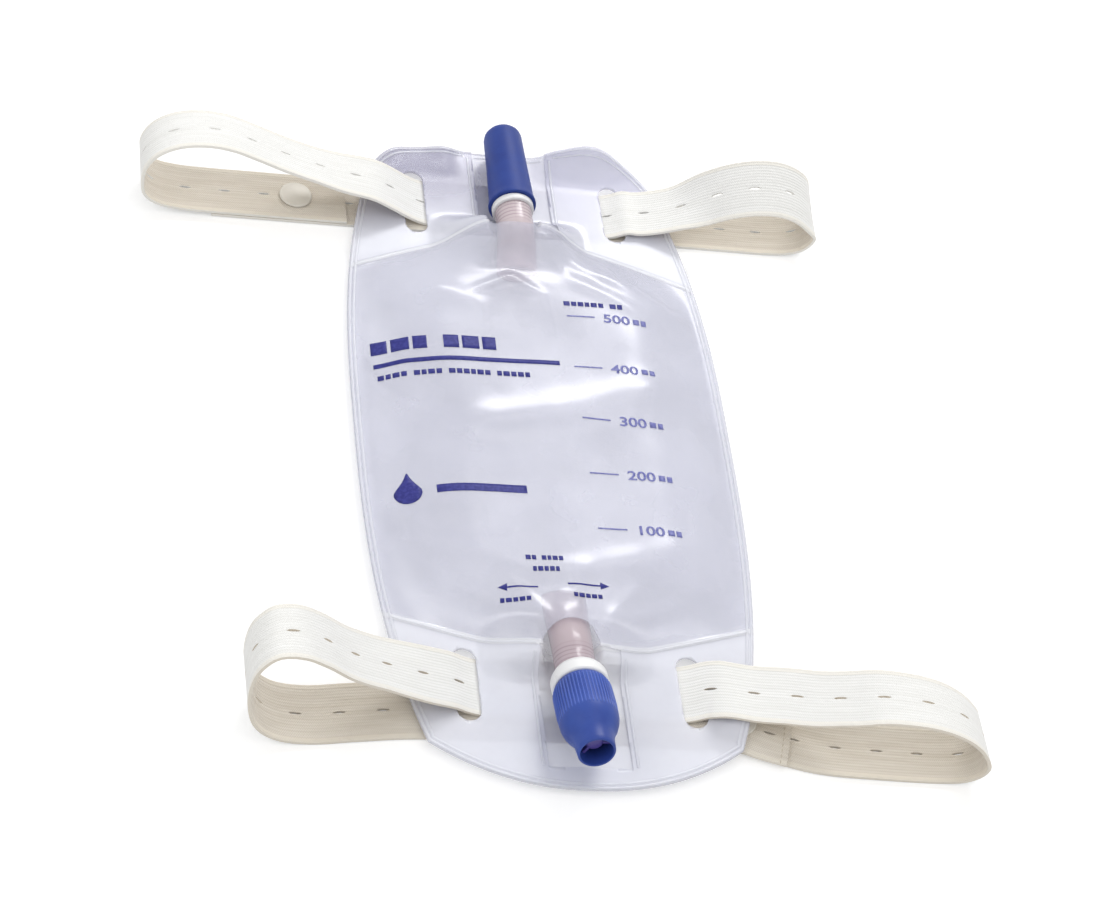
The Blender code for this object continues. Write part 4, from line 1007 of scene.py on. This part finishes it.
soft = Wiring("soft_tube")
place = soft.place()
_, y, _ = soft.parts(place)
colour = soft.blend(soft.noise(place, 120.0), INLET_ROSE, PALE_ROSE)
colour = soft.blend(soft.ramp(y, -0.01, 0.01), OUTLET_ROSE, colour)
near_barb = soft.ramp(y, -0.0800, -0.0775, 1.0, 0.0) + soft.ramp(y, 0.1000, 0.1020)
rings = soft.ramp(soft.math("SINE", y * (2 * math.pi / RING_PITCH)), 0.1, 0.9) * near_barb
soft.finish(Base_Color=soft.blend(rings * 0.75, colour, BARB_SHADE), Alpha=rings * 0.2 + 0.52,
            Roughness=0.22, IOR=1.5,
            Normal=soft.bump(soft.noise(place, 600.0), 0.0001, 0.4))
for name, port in (("inlet_tube_soft", INLET), ("outlet_tube_soft", OUTLET)):
    stations = [(outward,) for outward in spaced(port.inner_end, port.joint, TUBE_RINGS)]
    tube = loft(name, port, stations, -TUBE_WALL, 0.0, soft.material)
    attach(tube, "bag")
    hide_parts(name[:-5])

thin = Wiring("sleeve_film")
cloud = thin.noise(thin.place(), 160.0)
thin.finish(Base_Color=thin.blend(cloud, (0.80, 0.81, 0.90, 1), (0.88, 0.89, 0.96, 1)),
            Alpha=0.03, Roughness=0.25, Normal=thin.bump(cloud, 0.0006, 0.5))
# distance before the tube's inner end, then centre height, half width and half height
SLEEVE_PATH = ((-0.008,), (-0.004,), (0.0,), (0.004, 0.0073, 0.0088, 0.0030),
               (0.008, 0.0068, 0.0100, 0.0018), (0.014, 0.0065, 0.0109, 0.0010),
               (0.020, 0.0062, 0.0115, 0.0006), (0.029, 0.0060, 0.0118, 0.0005),
               (0.038, 0.0058, 0.0120, 0.0005))
sleeve = loft("reflux_sleeve_film", INLET,
              [(INLET.inner_end - before, *own) for before, *own in SLEEVE_PATH],
              GAP, GAP + FILM, thin.material)
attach(sleeve, "bag")
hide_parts("anti_reflux_sleeve")
print("tubes and sleeve:", len(sleeve.data.polygons), "faces in the sleeve")

# %% [markdown]
# ## Moulded pieces
#
# The connector, cap, stem, seal and barrel were all turned in the mould: each is one profile
# spun round an axis. A small bevel on every sharp edge gives the thin line of light that real
# moulded edges have. The axis of each port is where the rigid model has it, so a spun piece only
# needs to be turned on to that axis, and the turn is applied to its mesh.

# %% Turned pieces
INLET_TURN = Matrix.Translation(INLET_AT) @ Matrix.Rotation(-(math.pi / 2 + INLET_ANGLE), 4, "X")
OUTLET_TURN = Matrix.Translation(OUTLET_AT) @ Matrix.Rotation(math.pi / 2 - OUTLET_ANGLE, 4, "X")


def spun(profile, closed, steps=96):
    """A mesh turned about Z from (radius, height) pairs in millimetres."""
    bm = bmesh.new()
    corners = [bm.verts.new((radius / 1000, 0, height / 1000)) for radius, height in profile]
    for a, b in zip(corners, corners[1:]):
        bm.edges.new((a, b))
    if closed:
        bm.edges.new((corners[-1], corners[0]))
    bmesh.ops.spin(bm, geom=bm.verts[:] + bm.edges[:], axis=(0, 0, 1), cent=(0, 0, 0),
                   steps=steps, angle=2 * math.pi)
    bmesh.ops.remove_doubles(bm, verts=bm.verts, dist=0.000004)
    bmesh.ops.recalc_face_normals(bm, faces=bm.faces)
    return bm


def barbs(start):
    """Three barbs of a profile, which hold a tube from slipping off."""
    return [(radius, start + 1.7 * barb + rise)
            for barb in range(3) for radius, rise in ((5.0, 0.0), (4.4, 0.6))]


def keep(name, bm, place, material, body, node, bevel=0.00022, angle=28):
    """Put a spun body in place as a finished piece."""
    bm.transform(place)
    piece = mesh_object(name, bm, material)
    if bevel:
        edge = piece.modifiers.new("soft_edge", "BEVEL")
        edge.width, edge.segments, edge.harden_normals = bevel, 2, False
        edge.limit_method, edge.angle_limit = "ANGLE", math.radians(angle)
    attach(piece, body)
    if node:
        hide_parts(node)


def moulded(name, dark, pale, roughness, gloss=0.5):
    """Moulded plastic: faint flow clouds and fine grain."""
    skin = Wiring(name)
    place = skin.place()
    flow = skin.ramp(skin.noise(place, 70.0, 4.0), 0.3, 0.7)
    return skin.finish(
        Base_Color=skin.blend(flow, dark, pale), Roughness=flow * 0.12 + (roughness - 0.05),
        Normal=skin.bump(skin.noise(place, 2600.0, 2.0), 0.00003, 0.5), IOR=1.48,
        Specular_IOR_Level=gloss)


blue_plastic = moulded("blue_plastic", (0.020, 0.042, 0.215, 1), (0.028, 0.060, 0.28, 1), 0.48,
                       gloss=0.22)
valve_blue = moulded("valve_blue", (0.028, 0.060, 0.29, 1), (0.040, 0.088, 0.38, 1), 0.42,
                     gloss=0.3)
# The ribs are a paler blue than the barrel: a painted highlight along their crests.
rib_blue = moulded("rib_blue", (0.048, 0.100, 0.42, 1), (0.060, 0.122, 0.50, 1), 0.38, gloss=0.4)
violet = moulded("violet_core", (0.10, 0.075, 0.36, 1), (0.17, 0.13, 0.48, 1), 0.35)
white_plastic = moulded("white_plastic", (0.80, 0.80, 0.81, 1), (0.88, 0.88, 0.88, 1), 0.32)
print("inlet leans", round(math.degrees(INLET_ANGLE)), "and outlet",
      round(math.degrees(OUTLET_ANGLE)), "degrees")

# %% Connector and cap
NOSE, NOSE_TIP, NOSE_LENGTH, NOSE_STEPS = 5.4, 3.9, 31.0, 4
connector_profile = [(2.8, -8.9), (4.2, -8.9), *barbs(-7.9), (4.4, -2.4), (7.5, -2.4), (7.5, 0.0)]
for step in range(NOSE_STEPS):
    wide = mix(NOSE, NOSE_TIP, step / NOSE_STEPS) - 0.3 * min(step, 1)
    narrow = mix(NOSE, NOSE_TIP, (step + 1) / NOSE_STEPS) - 0.1
    connector_profile += [(wide, NOSE_LENGTH * step / NOSE_STEPS),
                          (narrow, NOSE_LENGTH * (step + 0.92) / NOSE_STEPS)]
connector_profile += [(3.5, NOSE_LENGTH), (2.8, NOSE_LENGTH)]
keep("stepped_connector", spun(connector_profile, True), INLET_TURN, white_plastic,
     "bag", "inlet_connector")

cap_profile = [(0.0, 38.0), (2.4, 37.95), (4.3, 37.6), (5.7, 36.8), (6.6, 35.6), (7.0, 34.0),
               (7.4, 20.0), (8.05, 4.2), (8.4, 2.0), (8.6, 1.2), (8.6, 0.5), (8.4, 0.28),
               (5.7, 0.28), (4.2, 31.3), (3.6, 36.2), (0.0, 36.2)]
keep("pull_off_cap", spun(cap_profile, False), INLET_TURN, blue_plastic,
     "cap", "inlet_cap", bevel=0.00015, angle=40)
print("cap:", cap_profile[0][1], "mm long, nose:", NOSE_LENGTH, "mm")

# %% [markdown]
# ## The twist valve
#
# The barrel is the piece a person grips. Fine ribs run round its upper part and fade out where it
# swells. Then it narrows in a curve and ends in a nozzle, with a violet core that three webs hold.
# Fifty ribs are one rib set out fifty times on a circle, which is work for a tree.

# %% Barrel
stem_profile = [(3.2, -12.7), (4.2, -12.7), *barbs(-11.7), (4.4, -6.2), (7.8, -6.2), (8.1, -6.0),
                (8.9, -4.6), (9.2, -3.8), (9.2, -0.6), (8.7, 0.0), (5.8, 0.0), (5.8, 14.5),
                (5.3, 15.0), (3.2, 15.0)]
keep("valve_stem_white", spun(stem_profile, True), OUTLET_TURN, white_plastic,
     "bag", "valve_stem")

BARREL_OUTSIDE = [(8.3, 0.3), (8.75, 0.55), (9.0, 1.2), (9.12, 3.0), (9.2, 8.0), (9.3, 12.6),
                  (9.4, 14.4), (9.35, 15.8), (9.0, 17.4), (8.4, 19.0), (7.55, 20.6), (6.85, 22.0),
                  (6.5, 23.2), (6.25, 25.0), (6.1, 27.0), (6.0, 28.4), (5.75, 28.8)]
BARREL_INSIDE = [(5.2, 28.8), (5.2, 19.2), (6.1, 17.0), (6.1, 11.5), (7.8, 11.5), (7.8, 9.5),
                 (6.1, 9.5), (6.1, 0.3)]
keep("twist_barrel", spun(BARREL_OUTSIDE + BARREL_INSIDE, True), OUTLET_TURN, valve_blue,
     "barrel", "valve_barrel", bevel=0.00015)

core_profile = [(0.0, 24.6), (2.3, 24.6), (2.9, 24.0), (2.9, 13.8), (2.1, 13.0), (0.0, 13.0)]
core_bm = spun(core_profile, False, 48)
for web in range(3):
    turn = Matrix.Rotation(2 * math.pi * web / 3, 3, "Z")
    for vertex in bmesh.ops.create_cube(core_bm, size=1.0)["verts"]:
        along, across, up = vertex.co
        vertex.co = turn @ Vector((mix(0.0020, 0.0056, along + 0.5), across * 0.0009,
                                   mix(0.0218, 0.0242, up + 0.5)))
keep("nozzle_core", core_bm, OUTLET_TURN, violet, "barrel", None, bevel=0.0001)

RIB_START, RIB_END, RIB_HALF, RIB_PROUD, RIB_COUNT, RIB_ROWS = 1.4, 15.6, 0.33, 0.38, 50, 14
# side and rise of a rib's section, as shares of its half width and height
RIB_SECTION = ((-1, -0.25), (-0.8, 0.45), (0, 1.0), (0.8, 0.45), (1, -0.25))


def ring_tree(name, material):
    """A tree that sets copies of a mesh round the Z axis, all facing outwards."""
    tree = Tree(name, {"Count": 50})
    points = tree.node("GeometryNodePoints", {"Count": tree.start["Count"]})
    number = tree.value("GeometryNodeInputIndex", {})
    turn = tree.node("ShaderNodeCombineXYZ", {2: number / tree.start["Count"] * (2 * math.pi)})
    ring = tree.node("GeometryNodeInstanceOnPoints", {
        "Points": points.outputs[0], "Instance": tree.start["Geometry"],
        "Rotation": turn.outputs[0]})
    return tree.close(ring.outputs[0], material)


def barrel_radius(height):
    """Radius of the barrel's outside at a height, in millimetres."""
    for (r0, h0), (r1, h1) in zip(BARREL_OUTSIDE, BARREL_OUTSIDE[1:]):
        if h0 <= height <= h1:
            return mix(r0, r1, (height - h0) / (h1 - h0))
    return BARREL_OUTSIDE[-1][0]


rib_bm = bmesh.new()
bands = []
for step in range(RIB_ROWS + 1):
    t = step / RIB_ROWS
    height = mix(RIB_START, RIB_END, t)
    proud = RIB_PROUD * smooth_step(0.0, 0.08, t) * (1 - smooth_step(0.62, 1.0, t))
    band = []
    for side, rise in RIB_SECTION:
        radius = barrel_radius(height) + (proud * rise if rise > 0 else rise)
        band.append(rib_bm.verts.new((radius / 1000, side * RIB_HALF / 1000, height / 1000)))
    bands.append(band)
for first, second in zip(bands, bands[1:]):
    for a, b, c, d in zip(first, first[1:], second[1:], second):
        rib_bm.faces.new((a, b, c, d))
    rib_bm.faces.new((first[-1], first[0], second[0], second[-1]))
rib_bm.faces.new(bands[0])
rib_bm.faces.new(bands[-1][::-1])
bmesh.ops.recalc_face_normals(rib_bm, faces=rib_bm.faces)
grip_ribs = run_tree(mesh_object("rib", rib_bm), ring_tree("rib_ring", rib_blue), "grip_ribs",
                     {"Count": RIB_COUNT})
grip_ribs.data.transform(OUTLET_TURN)
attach(grip_ribs, "barrel")

SEAL_MIDDLE, SEAL_THICK, SEAL_HEIGHT = 6.8, 0.7, 10.5
seal_profile = [(SEAL_MIDDLE + SEAL_THICK * math.cos(angle),
                 SEAL_HEIGHT + SEAL_THICK * math.sin(angle))
                for angle in spaced(0, 2 * math.pi, 20)[:-1]]
rubber = speckled("black_rubber", 300.0, (0.02, 0.02, 0.02, 1), (0.05, 0.05, 0.05, 1),
                  Roughness=0.55)
keep("seal_ring", spun(seal_profile, True, 64), OUTLET_TURN, rubber, "seal",
     "valve_seal", bevel=0)

# %% [markdown]
# ## Straps
#
# Each strap is one long ribbon of ivory elastic. It runs behind the bag, comes up through a slot,
# makes a loop in the air and dives back under the bag. A remesh or a cloth solver would eat its
# edges, so the ribbon is built along its route: rows across it, with a row at each end of every
# buttonhole, and the face between them left out.

# %% Strap routes
STRAP_WIDE, SLIT_PITCH, SLIT_LONG, SLIT_HALF = 0.021, 0.014, 0.0044, 0.00045
LOW_Z = STRAP_THICK / 2
HIGH_Z = LOW_Z + STRAP_THICK + GAP
OVER_Z = FRONT_Z + FILM + GAP + STRAP_THICK / 2
UPPER_BUTTON, UPPER_SHIFT, HEM_X = -0.080, 0.0025, SLOT_X + 0.031

# outward from the slot, shift along the bag, height over the flap, all in millimetres
UPPER_LEFT_OVER = (
    (8.5, 0, 3.2), (16, 0, 6.8), (29, -0.5, 9.8), (39, -1, 13.2), (50, -1.5, 17.5),
    (61, -2, 22.5), (70, -2.2, 26), (79, -2.4, 27.2), (88, -2.5, 25.5), (95, -2.5, 20.5),
    (98.5, -2.5, 13))
UPPER_RIGHT_OVER = (
    (9, 0, 0.7), (21, 0, 4.5), (32, 0, 11.5), (41, 0, 16.5), (50, 0.2, 19), (59, 0.4, 19),
    (67, 0.5, 16), (73, 0.5, 10.5))
LOWER_LEFT_OVER = (
    (14, -1, 5), (29, -2.5, 12), (41, -5, 20.5), (51, -7, 30), (59, -8.5, 35.5),
    (66, -9.5, 36), (70.5, -10, 30.5), (72, -10, 21.5))
LOWER_RIGHT_OVER = (
    (9, -1, 3), (20, -3, 4), (29, -5, 6.5), (38, -8, 10), (47, -10.5, 14.5), (56, -13, 19.5),
    (65, -15, 21.5), (74, -16.5, 21), (83, -17.8, 17.5), (90, -18.5, 11.5))
# the same, with the height over the table
UPPER_LEFT_UNDER = (
    (97.5, -2.5, 8.5), (93, -2.5, 4.3), (85, -2.5, 2.4), (74, -2.5, 1.95), (55, -2.5, 1.95),
    (40, -2.5, 1.95), (25, -2.5, 1.95))
UPPER_RIGHT_UNDER = ((75, 0.5, 9), (72.5, 0.4, 4), (67, 0.2, 1.4), (58, 0, 0.55), (45, 0, 0.55))
LOWER_LEFT_UNDER = (
    (71, -10.5, 15), (67, -11, 6.5), (61, -11.5, 2.2), (51, -11.5, 0.55), (36, -10, 0.55),
    (20, -8.5, 0.55))
LOWER_RIGHT_UNDER = (
    (94, -18.7, 9.5), (93, -18.7, 5), (89, -18.7, 1.8), (81, -18.6, 0.55), (60, -18, 0.55),
    (40, -16.5, 0.55), (26, -12.8, 0.55))


def lower_run_y(x):
    """Middle of the lower strap where it closes under the bag."""
    return LOWER_SLOT - 0.008 - 0.0015 * smooth_step(0.0, 0.055, x)


def loop(side, slot_y, over, under):
    """A loop outside one slot, outwards over the flap and back below it."""
    return [Vector((side * (SLOT_X + a / 1000), slot_y + b / 1000, base + c / 1000))
            for base, part in ((OVER_Z, over), (0.0, under)) for a, b, c in part]


def through_slot(side, slot_y):
    """The short climb from under the bag to above the flap."""
    return [Vector((side * (SLOT_X - 3 * SLOT_HALF), slot_y, HIGH_Z)),
            Vector((side * (SLOT_X - SLOT_HALF), slot_y, HIGH_Z - GAP / 2)),
            Vector((side * (SLOT_X + 0.1 * SLOT_HALF), slot_y, (HIGH_Z + OVER_Z) / 2)),
            Vector((side * (SLOT_X + 1.1 * SLOT_HALF), slot_y, OVER_Z + 0.0008))]


upper_route = [Vector((UPPER_BUTTON - 0.030, UPPER_SLOT - UPPER_SHIFT, LOW_Z))]
for x in spaced(UPPER_BUTTON, SLOT_X + 0.028, 5):
    shift = UPPER_SHIFT * (1 - smooth_step(-HALF_WIDTH, HALF_WIDTH, x))
    upper_route.append(Vector((x, UPPER_SLOT - shift, LOW_Z)))
upper_route += reversed(loop(1, UPPER_SLOT, UPPER_RIGHT_OVER, UPPER_RIGHT_UNDER))
upper_route += reversed(through_slot(1, UPPER_SLOT))
upper_route.append(Vector((0.0, UPPER_SLOT, HIGH_Z)))
upper_route += through_slot(-1, UPPER_SLOT)
upper_route += loop(-1, UPPER_SLOT, UPPER_LEFT_OVER, UPPER_LEFT_UNDER)

lower_route = [Vector((HEM_X, LOWER_SLOT - 0.0155, HIGH_Z)),
               Vector((HEM_X - 0.010, LOWER_SLOT - 0.0125, HIGH_Z))]
for x, z in ((LOWER_BUTTON, HIGH_Z), (SLOT_X + 0.006, HIGH_Z), (SLOT_X - 0.003, LOW_Z),
             (SLOT_X - 0.010, LOW_Z), (0.0, LOW_Z), (-0.020, LOW_Z)):
    lower_route.append(Vector((x, lower_run_y(x), z)))
lower_route += reversed(loop(-1, LOWER_SLOT, LOWER_LEFT_OVER, LOWER_LEFT_UNDER))
lower_route += reversed(through_slot(-1, LOWER_SLOT))
lower_route.append(Vector((0.0, LOWER_SLOT, HIGH_Z)))
lower_route += through_slot(1, LOWER_SLOT)
lower_route += loop(1, LOWER_SLOT, LOWER_RIGHT_OVER, LOWER_RIGHT_UNDER)
for x in (LOWER_BUTTON, SLOT_X + 0.0068):
    lower_route.append(Vector((x, lower_run_y(x), LOW_Z)))


# %% Walking along a route
def curve_through(points, step):
    """Points on a centripetal spline through the given ones."""
    ends = [2 * points[0] - points[1]] + points + [2 * points[-1] - points[-2]]
    dense = []
    for p0, p1, p2, p3 in zip(ends, ends[1:], ends[2:], ends[3:]):
        t1 = (p1 - p0).length ** 0.5
        t2 = t1 + (p2 - p1).length ** 0.5
        t3 = t2 + (p3 - p2).length ** 0.5
        for i in range(24):
            t = mix(t1, t2, i / 24)
            a1 = p0 * ((t1 - t) / t1) + p1 * (t / t1)
            a2 = p1 * ((t2 - t) / (t2 - t1)) + p2 * ((t - t1) / (t2 - t1))
            a3 = p2 * ((t3 - t) / (t3 - t2)) + p3 * ((t - t2) / (t3 - t2))
            b1 = a1 * ((t2 - t) / t2) + a2 * (t / t2)
            b2 = a2 * ((t3 - t) / (t3 - t1)) + a3 * ((t - t1) / (t3 - t1))
            dense.append(b1 * ((t2 - t) / (t2 - t1)) + b2 * ((t - t1) / (t2 - t1)))
    dense.append(points[-1].copy())
    walked = [dense[0]]
    for point in dense[1:]:
        if (point - walked[-1]).length >= step:
            walked.append(point)
    return walked


class Route:
    """A walked route with its lengths, its rolls and its buttonholes at a button."""

    def __init__(self, points, rolls, button_x):
        self.points = curve_through(points, 0.0008)
        self.rolls = rolls
        self.lengths = [0.0]
        for a, b in zip(self.points, self.points[1:]):
            self.lengths.append(self.lengths[-1] + (b - a).length)
        self.total = self.lengths[-1]
        self.holes = []
        for a, b, length in zip(self.points, self.points[1:], self.lengths):
            if (a.x - button_x) * (b.x - button_x) <= 0 and a.z < HIGH_Z + STRAP_THICK / 2:
                self.holes.append(length + (b - a).length * (button_x - a.x) / (b.x - a.x))

    def at(self, distance):
        """Place, direction and side of the strap at a distance."""
        i = sum(1 for length in self.lengths[1:-1] if length <= distance)
        t = (distance - self.lengths[i]) / (self.lengths[i + 1] - self.lengths[i])
        ahead = self.points[min(i + 3, len(self.points) - 1)] - self.points[max(i - 2, 0)]
        ahead.normalize()
        centre = self.points[i].lerp(self.points[i + 1], t)
        side = (Vector((0, 1, 0)) - ahead * ahead.y).normalized()
        roll = self.rolls[0] if centre.x < 0 else self.rolls[1]
        roll *= smooth_step(OVER_Z + 0.004, OVER_Z + 0.014, centre.z)
        side.rotate(Matrix.Rotation(math.radians(roll), 3, Vector((1, 0, 0))))
        return centre, ahead, side

    def slits(self):
        """Middles of the buttonholes and half widths, with wider ones at the button."""
        found = [(hole, 0.0015) for hole in self.holes]
        position = SLIT_PITCH / 2
        while position < self.total - SLIT_PITCH / 3:
            if all(abs(position - hole) > SLIT_PITCH * 0.45 for hole in self.holes):
                found.append((position, SLIT_HALF))
            position += SLIT_PITCH
        return sorted(found)


upper_walk = Route(upper_route, (-10.0, 25.0), UPPER_BUTTON)
lower_walk = Route(lower_route, (-8.0, -5.0), LOWER_BUTTON)
print("strap lengths:", round(upper_walk.total * 1000), round(lower_walk.total * 1000), "mm")

# %% [markdown]
# ### Woven elastic
#
# Fine cords run along the strap, crossed by a tight zigzag of thread, with a firmer edge on each
# side. The weave follows the strap round its loops, so it reads the ribbon's own map, which
# holds metres across and along. The reverse, seen inside the loops, is a darker, warmer beige:
# painted shade and painted warm bounced light.

# %% Strap material
CORD_PITCH, WEAVE_PITCH = 0.0011, 0.0007


def strap_material(name, dark, pale, selvage):
    """Woven elastic, from the strap's own map of metres across and along."""
    weave = Wiring(name)
    uv = weave.value("ShaderNodeUVMap", {}, uv_map="strap")
    across, along, _ = weave.parts(uv)
    cords = weave.math("SINE", across * (2 * math.pi / CORD_PITCH))
    zigzag = cords * weave.math("SINE", along * (2 * math.pi / WEAVE_PITCH))
    edge = weave.ramp(abs(across), 0.0086, 0.0092)
    drawn_out = weave.value("ShaderNodeMapping", {"Vector": uv, "Scale": (700.0, 40.0, 1.0)})
    shade = weave.noise(drawn_out, 1.0) * 0.55 + (zigzag + 1.0) * 0.16
    relief = cords * 0.5 + zigzag * 0.35 + weave.noise(uv, 4200.0, 2.0) * 0.5 + edge * 0.8
    colour = weave.blend(weave.ramp(shade, 0.2, 0.75), dark, pale)
    return weave.finish(
        Base_Color=weave.blend(edge * 0.6, colour, selvage), Roughness=0.88,
        Normal=weave.bump(relief, 0.00012, 0.7), Sheen_Weight=0.25, Sheen_Roughness=0.5,
        Specular_IOR_Level=0.25)


ivory_elastic = strap_material(
    "ivory_elastic", (0.84, 0.835, 0.805, 1), (0.95, 0.947, 0.93, 1), (0.91, 0.87, 0.78, 1))
# The reverse is the same weave in a darker, warmer beige: painted shade and painted bounced light
# inside the loops.
reverse_elastic = strap_material(
    "reverse_elastic", (0.67, 0.61, 0.52, 1), (0.85, 0.80, 0.72, 1), (0.86, 0.80, 0.69, 1))
print("cords in a strap:", round(STRAP_WIDE / CORD_PITCH))

# %% Strap meshes
ROW_SPACING, LEFT_BY_SLITS, EDGE_ROUND = 0.0016, 0.98, 0.00028
SIDE_COLUMNS = (0.0105, 0.0100, 0.0088, 0.0070, 0.0050, 0.0028, 0.0014)


def strap_rows(walk):
    """Rows across a strap: distance, half width of the middle gap, and whether it is cut."""
    rows = [(0.0, SLIT_HALF, False)]

    def fill(end):
        """Plain rows up to the next buttonhole or the strap's end."""
        start = rows[-1][0]
        count = max(round((end - start) / ROW_SPACING), 1)
        rows.extend((distance, SLIT_HALF, False) for distance in spaced(start, end, count)[1:-1])

    for centre, half in walk.slits():
        reach = max(SLIT_LONG / 2, half * 1.4)
        fill(centre - reach)
        for step in range(7):
            f = -1 + step / 3
            bulge = max(math.sqrt(max(1 - f * f, 0.0)), 0.10)
            rows.append((centre + f * reach, half * bulge, step < 6))
    fill(walk.total)
    return rows + [(walk.total, SLIT_HALF, False)]


def build_strap(name, walk, node, sides):
    """The ribbon with its buttonholes, thickness, rounded edges and two faces."""
    rows = strap_rows(walk)
    bm = bmesh.new()
    strap_map = bm.loops.layers.uv.new("strap")
    grid = []
    for distance, half, _ in rows:
        centre, _, side = walk.at(distance)
        offsets = [-c for c in SIDE_COLUMNS] + [-half, half] + list(reversed(SIDE_COLUMNS))
        grid.append([(bm.verts.new(centre + side * offset), offset, distance)
                     for offset in offsets])
    middle = len(SIDE_COLUMNS)
    for (_, _, cut), first, second in zip(rows, grid, grid[1:]):
        for column in range(len(first) - 1):
            if column == middle and cut:
                continue
            corners = (first[column], first[column + 1], second[column + 1], second[column])
            face = bm.faces.new([corner[0] for corner in corners])
            for corner_loop, corner in zip(face.loops, corners):
                corner_loop[strap_map].uv = corner[1:]
    bm.normal_update()
    strap = mesh_object(name, bm, *sides)
    wall = strap.modifiers.new("wall", "SOLIDIFY")
    wall.thickness, wall.offset, wall.material_offset = STRAP_THICK, 0.0, 1
    rounding = strap.modifiers.new("rounding", "BEVEL")
    rounding.width, rounding.segments = EDGE_ROUND, 2
    rounding.limit_method, rounding.angle_limit = "ANGLE", math.radians(60)
    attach(strap, "bag")
    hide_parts(node)
    print(name, len(rows), "rows")


# Each strap's second material is the painted shade, on the side that faces into its loops.
build_strap("upper_elastic", upper_walk, "upper_strap", (ivory_elastic, reverse_elastic))
build_strap("lower_elastic", lower_walk, "lower_strap", (reverse_elastic, ivory_elastic))

# %% [markdown]
# ### Stitches and buttons
#
# The lower strap's end is folded and sewn: a row of short thread stitches crosses it. Stitches
# are one small capsule set out along a path, which is what a tree is for. The buttons are small
# moulded domes with a rim.

# %% Stitches
STITCH_PITCH, THREAD_RADIUS, THREAD_ABOVE = 0.0021, 0.00017, 0.00004
HEM_ROWS, HEM_REACH = (0.0022, 0.0150), 0.0098  # from the strap's end, and from its middle


def stitch_tree(name, material):
    """A tree that lays one stitch on every point of a path, in line with it."""
    tree = Tree(name, {"Pitch": 0.0022, "Thread radius": 0.00018})
    points = tree.node("GeometryNodeCurveToPoints", {
        "Curve": tree.start["Geometry"], "Length": tree.start["Pitch"]}, mode="LENGTH")
    ball = tree.node("GeometryNodeMeshIcoSphere", {"Subdivisions": 2, "Radius": 1.0})
    stretch = tree.node("ShaderNodeVectorMath", {
        0: (1.0, 1.0, 4.6), "Scale": tree.start["Thread radius"]}, operation="SCALE")
    seam = tree.node("GeometryNodeInstanceOnPoints", {
        "Points": points.outputs["Points"], "Rotation": points.outputs["Rotation"],
        "Instance": ball.outputs["Mesh"], "Scale": stretch.outputs[0]})
    return tree.close(seam.outputs[0], material)


def across_strap(walk, distance):
    """Points across a strap at a distance, on its upper face."""
    centre, ahead, side = walk.at(distance)
    up = side.cross(ahead) if side.cross(ahead).z > 0 else ahead.cross(side)
    return [centre + up * (STRAP_THICK / 2 + THREAD_ABOVE) + side * offset
            for offset in spaced(-HEM_REACH, HEM_REACH, 16)]


thread = speckled("sewing_thread", 2000.0, (0.50, 0.44, 0.34, 1), (0.70, 0.64, 0.54, 1),
                  Roughness=0.8)
hem_paths = [across_strap(lower_walk, distance) for distance in HEM_ROWS]
hem_stitches = run_tree(
    path_curve("hem_paths", hem_paths), stitch_tree("stitches", thread), "hem_stitches",
    {"Pitch": STITCH_PITCH, "Thread radius": THREAD_RADIUS})
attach(hem_stitches, "bag")

# %% Buttons
button_profile = [(0.0, 4.20), (2.0, 4.16), (3.6, 4.02), (4.7, 3.80), (5.0, 3.72), (5.25, 3.76),
                  (5.55, 3.66), (5.8, 3.30), (5.75, 2.95), (5.5, 2.80), (1.2, 2.80), (1.2, 0.20),
                  (0.0, 0.20)]
button_white = moulded("button_white", (0.74, 0.71, 0.64, 1), (0.83, 0.80, 0.74, 1), 0.4)
for name, x, y, node in (
        ("upper_dome_button", UPPER_BUTTON, UPPER_SLOT - UPPER_SHIFT, "upper_button"),
        ("lower_dome_button", LOWER_BUTTON, lower_run_y(LOWER_BUTTON), "lower_button")):
    keep(name, spun(button_profile, False, 64), Matrix.Translation((x, y, 0)), button_white,
         "bag", node, bevel=0)
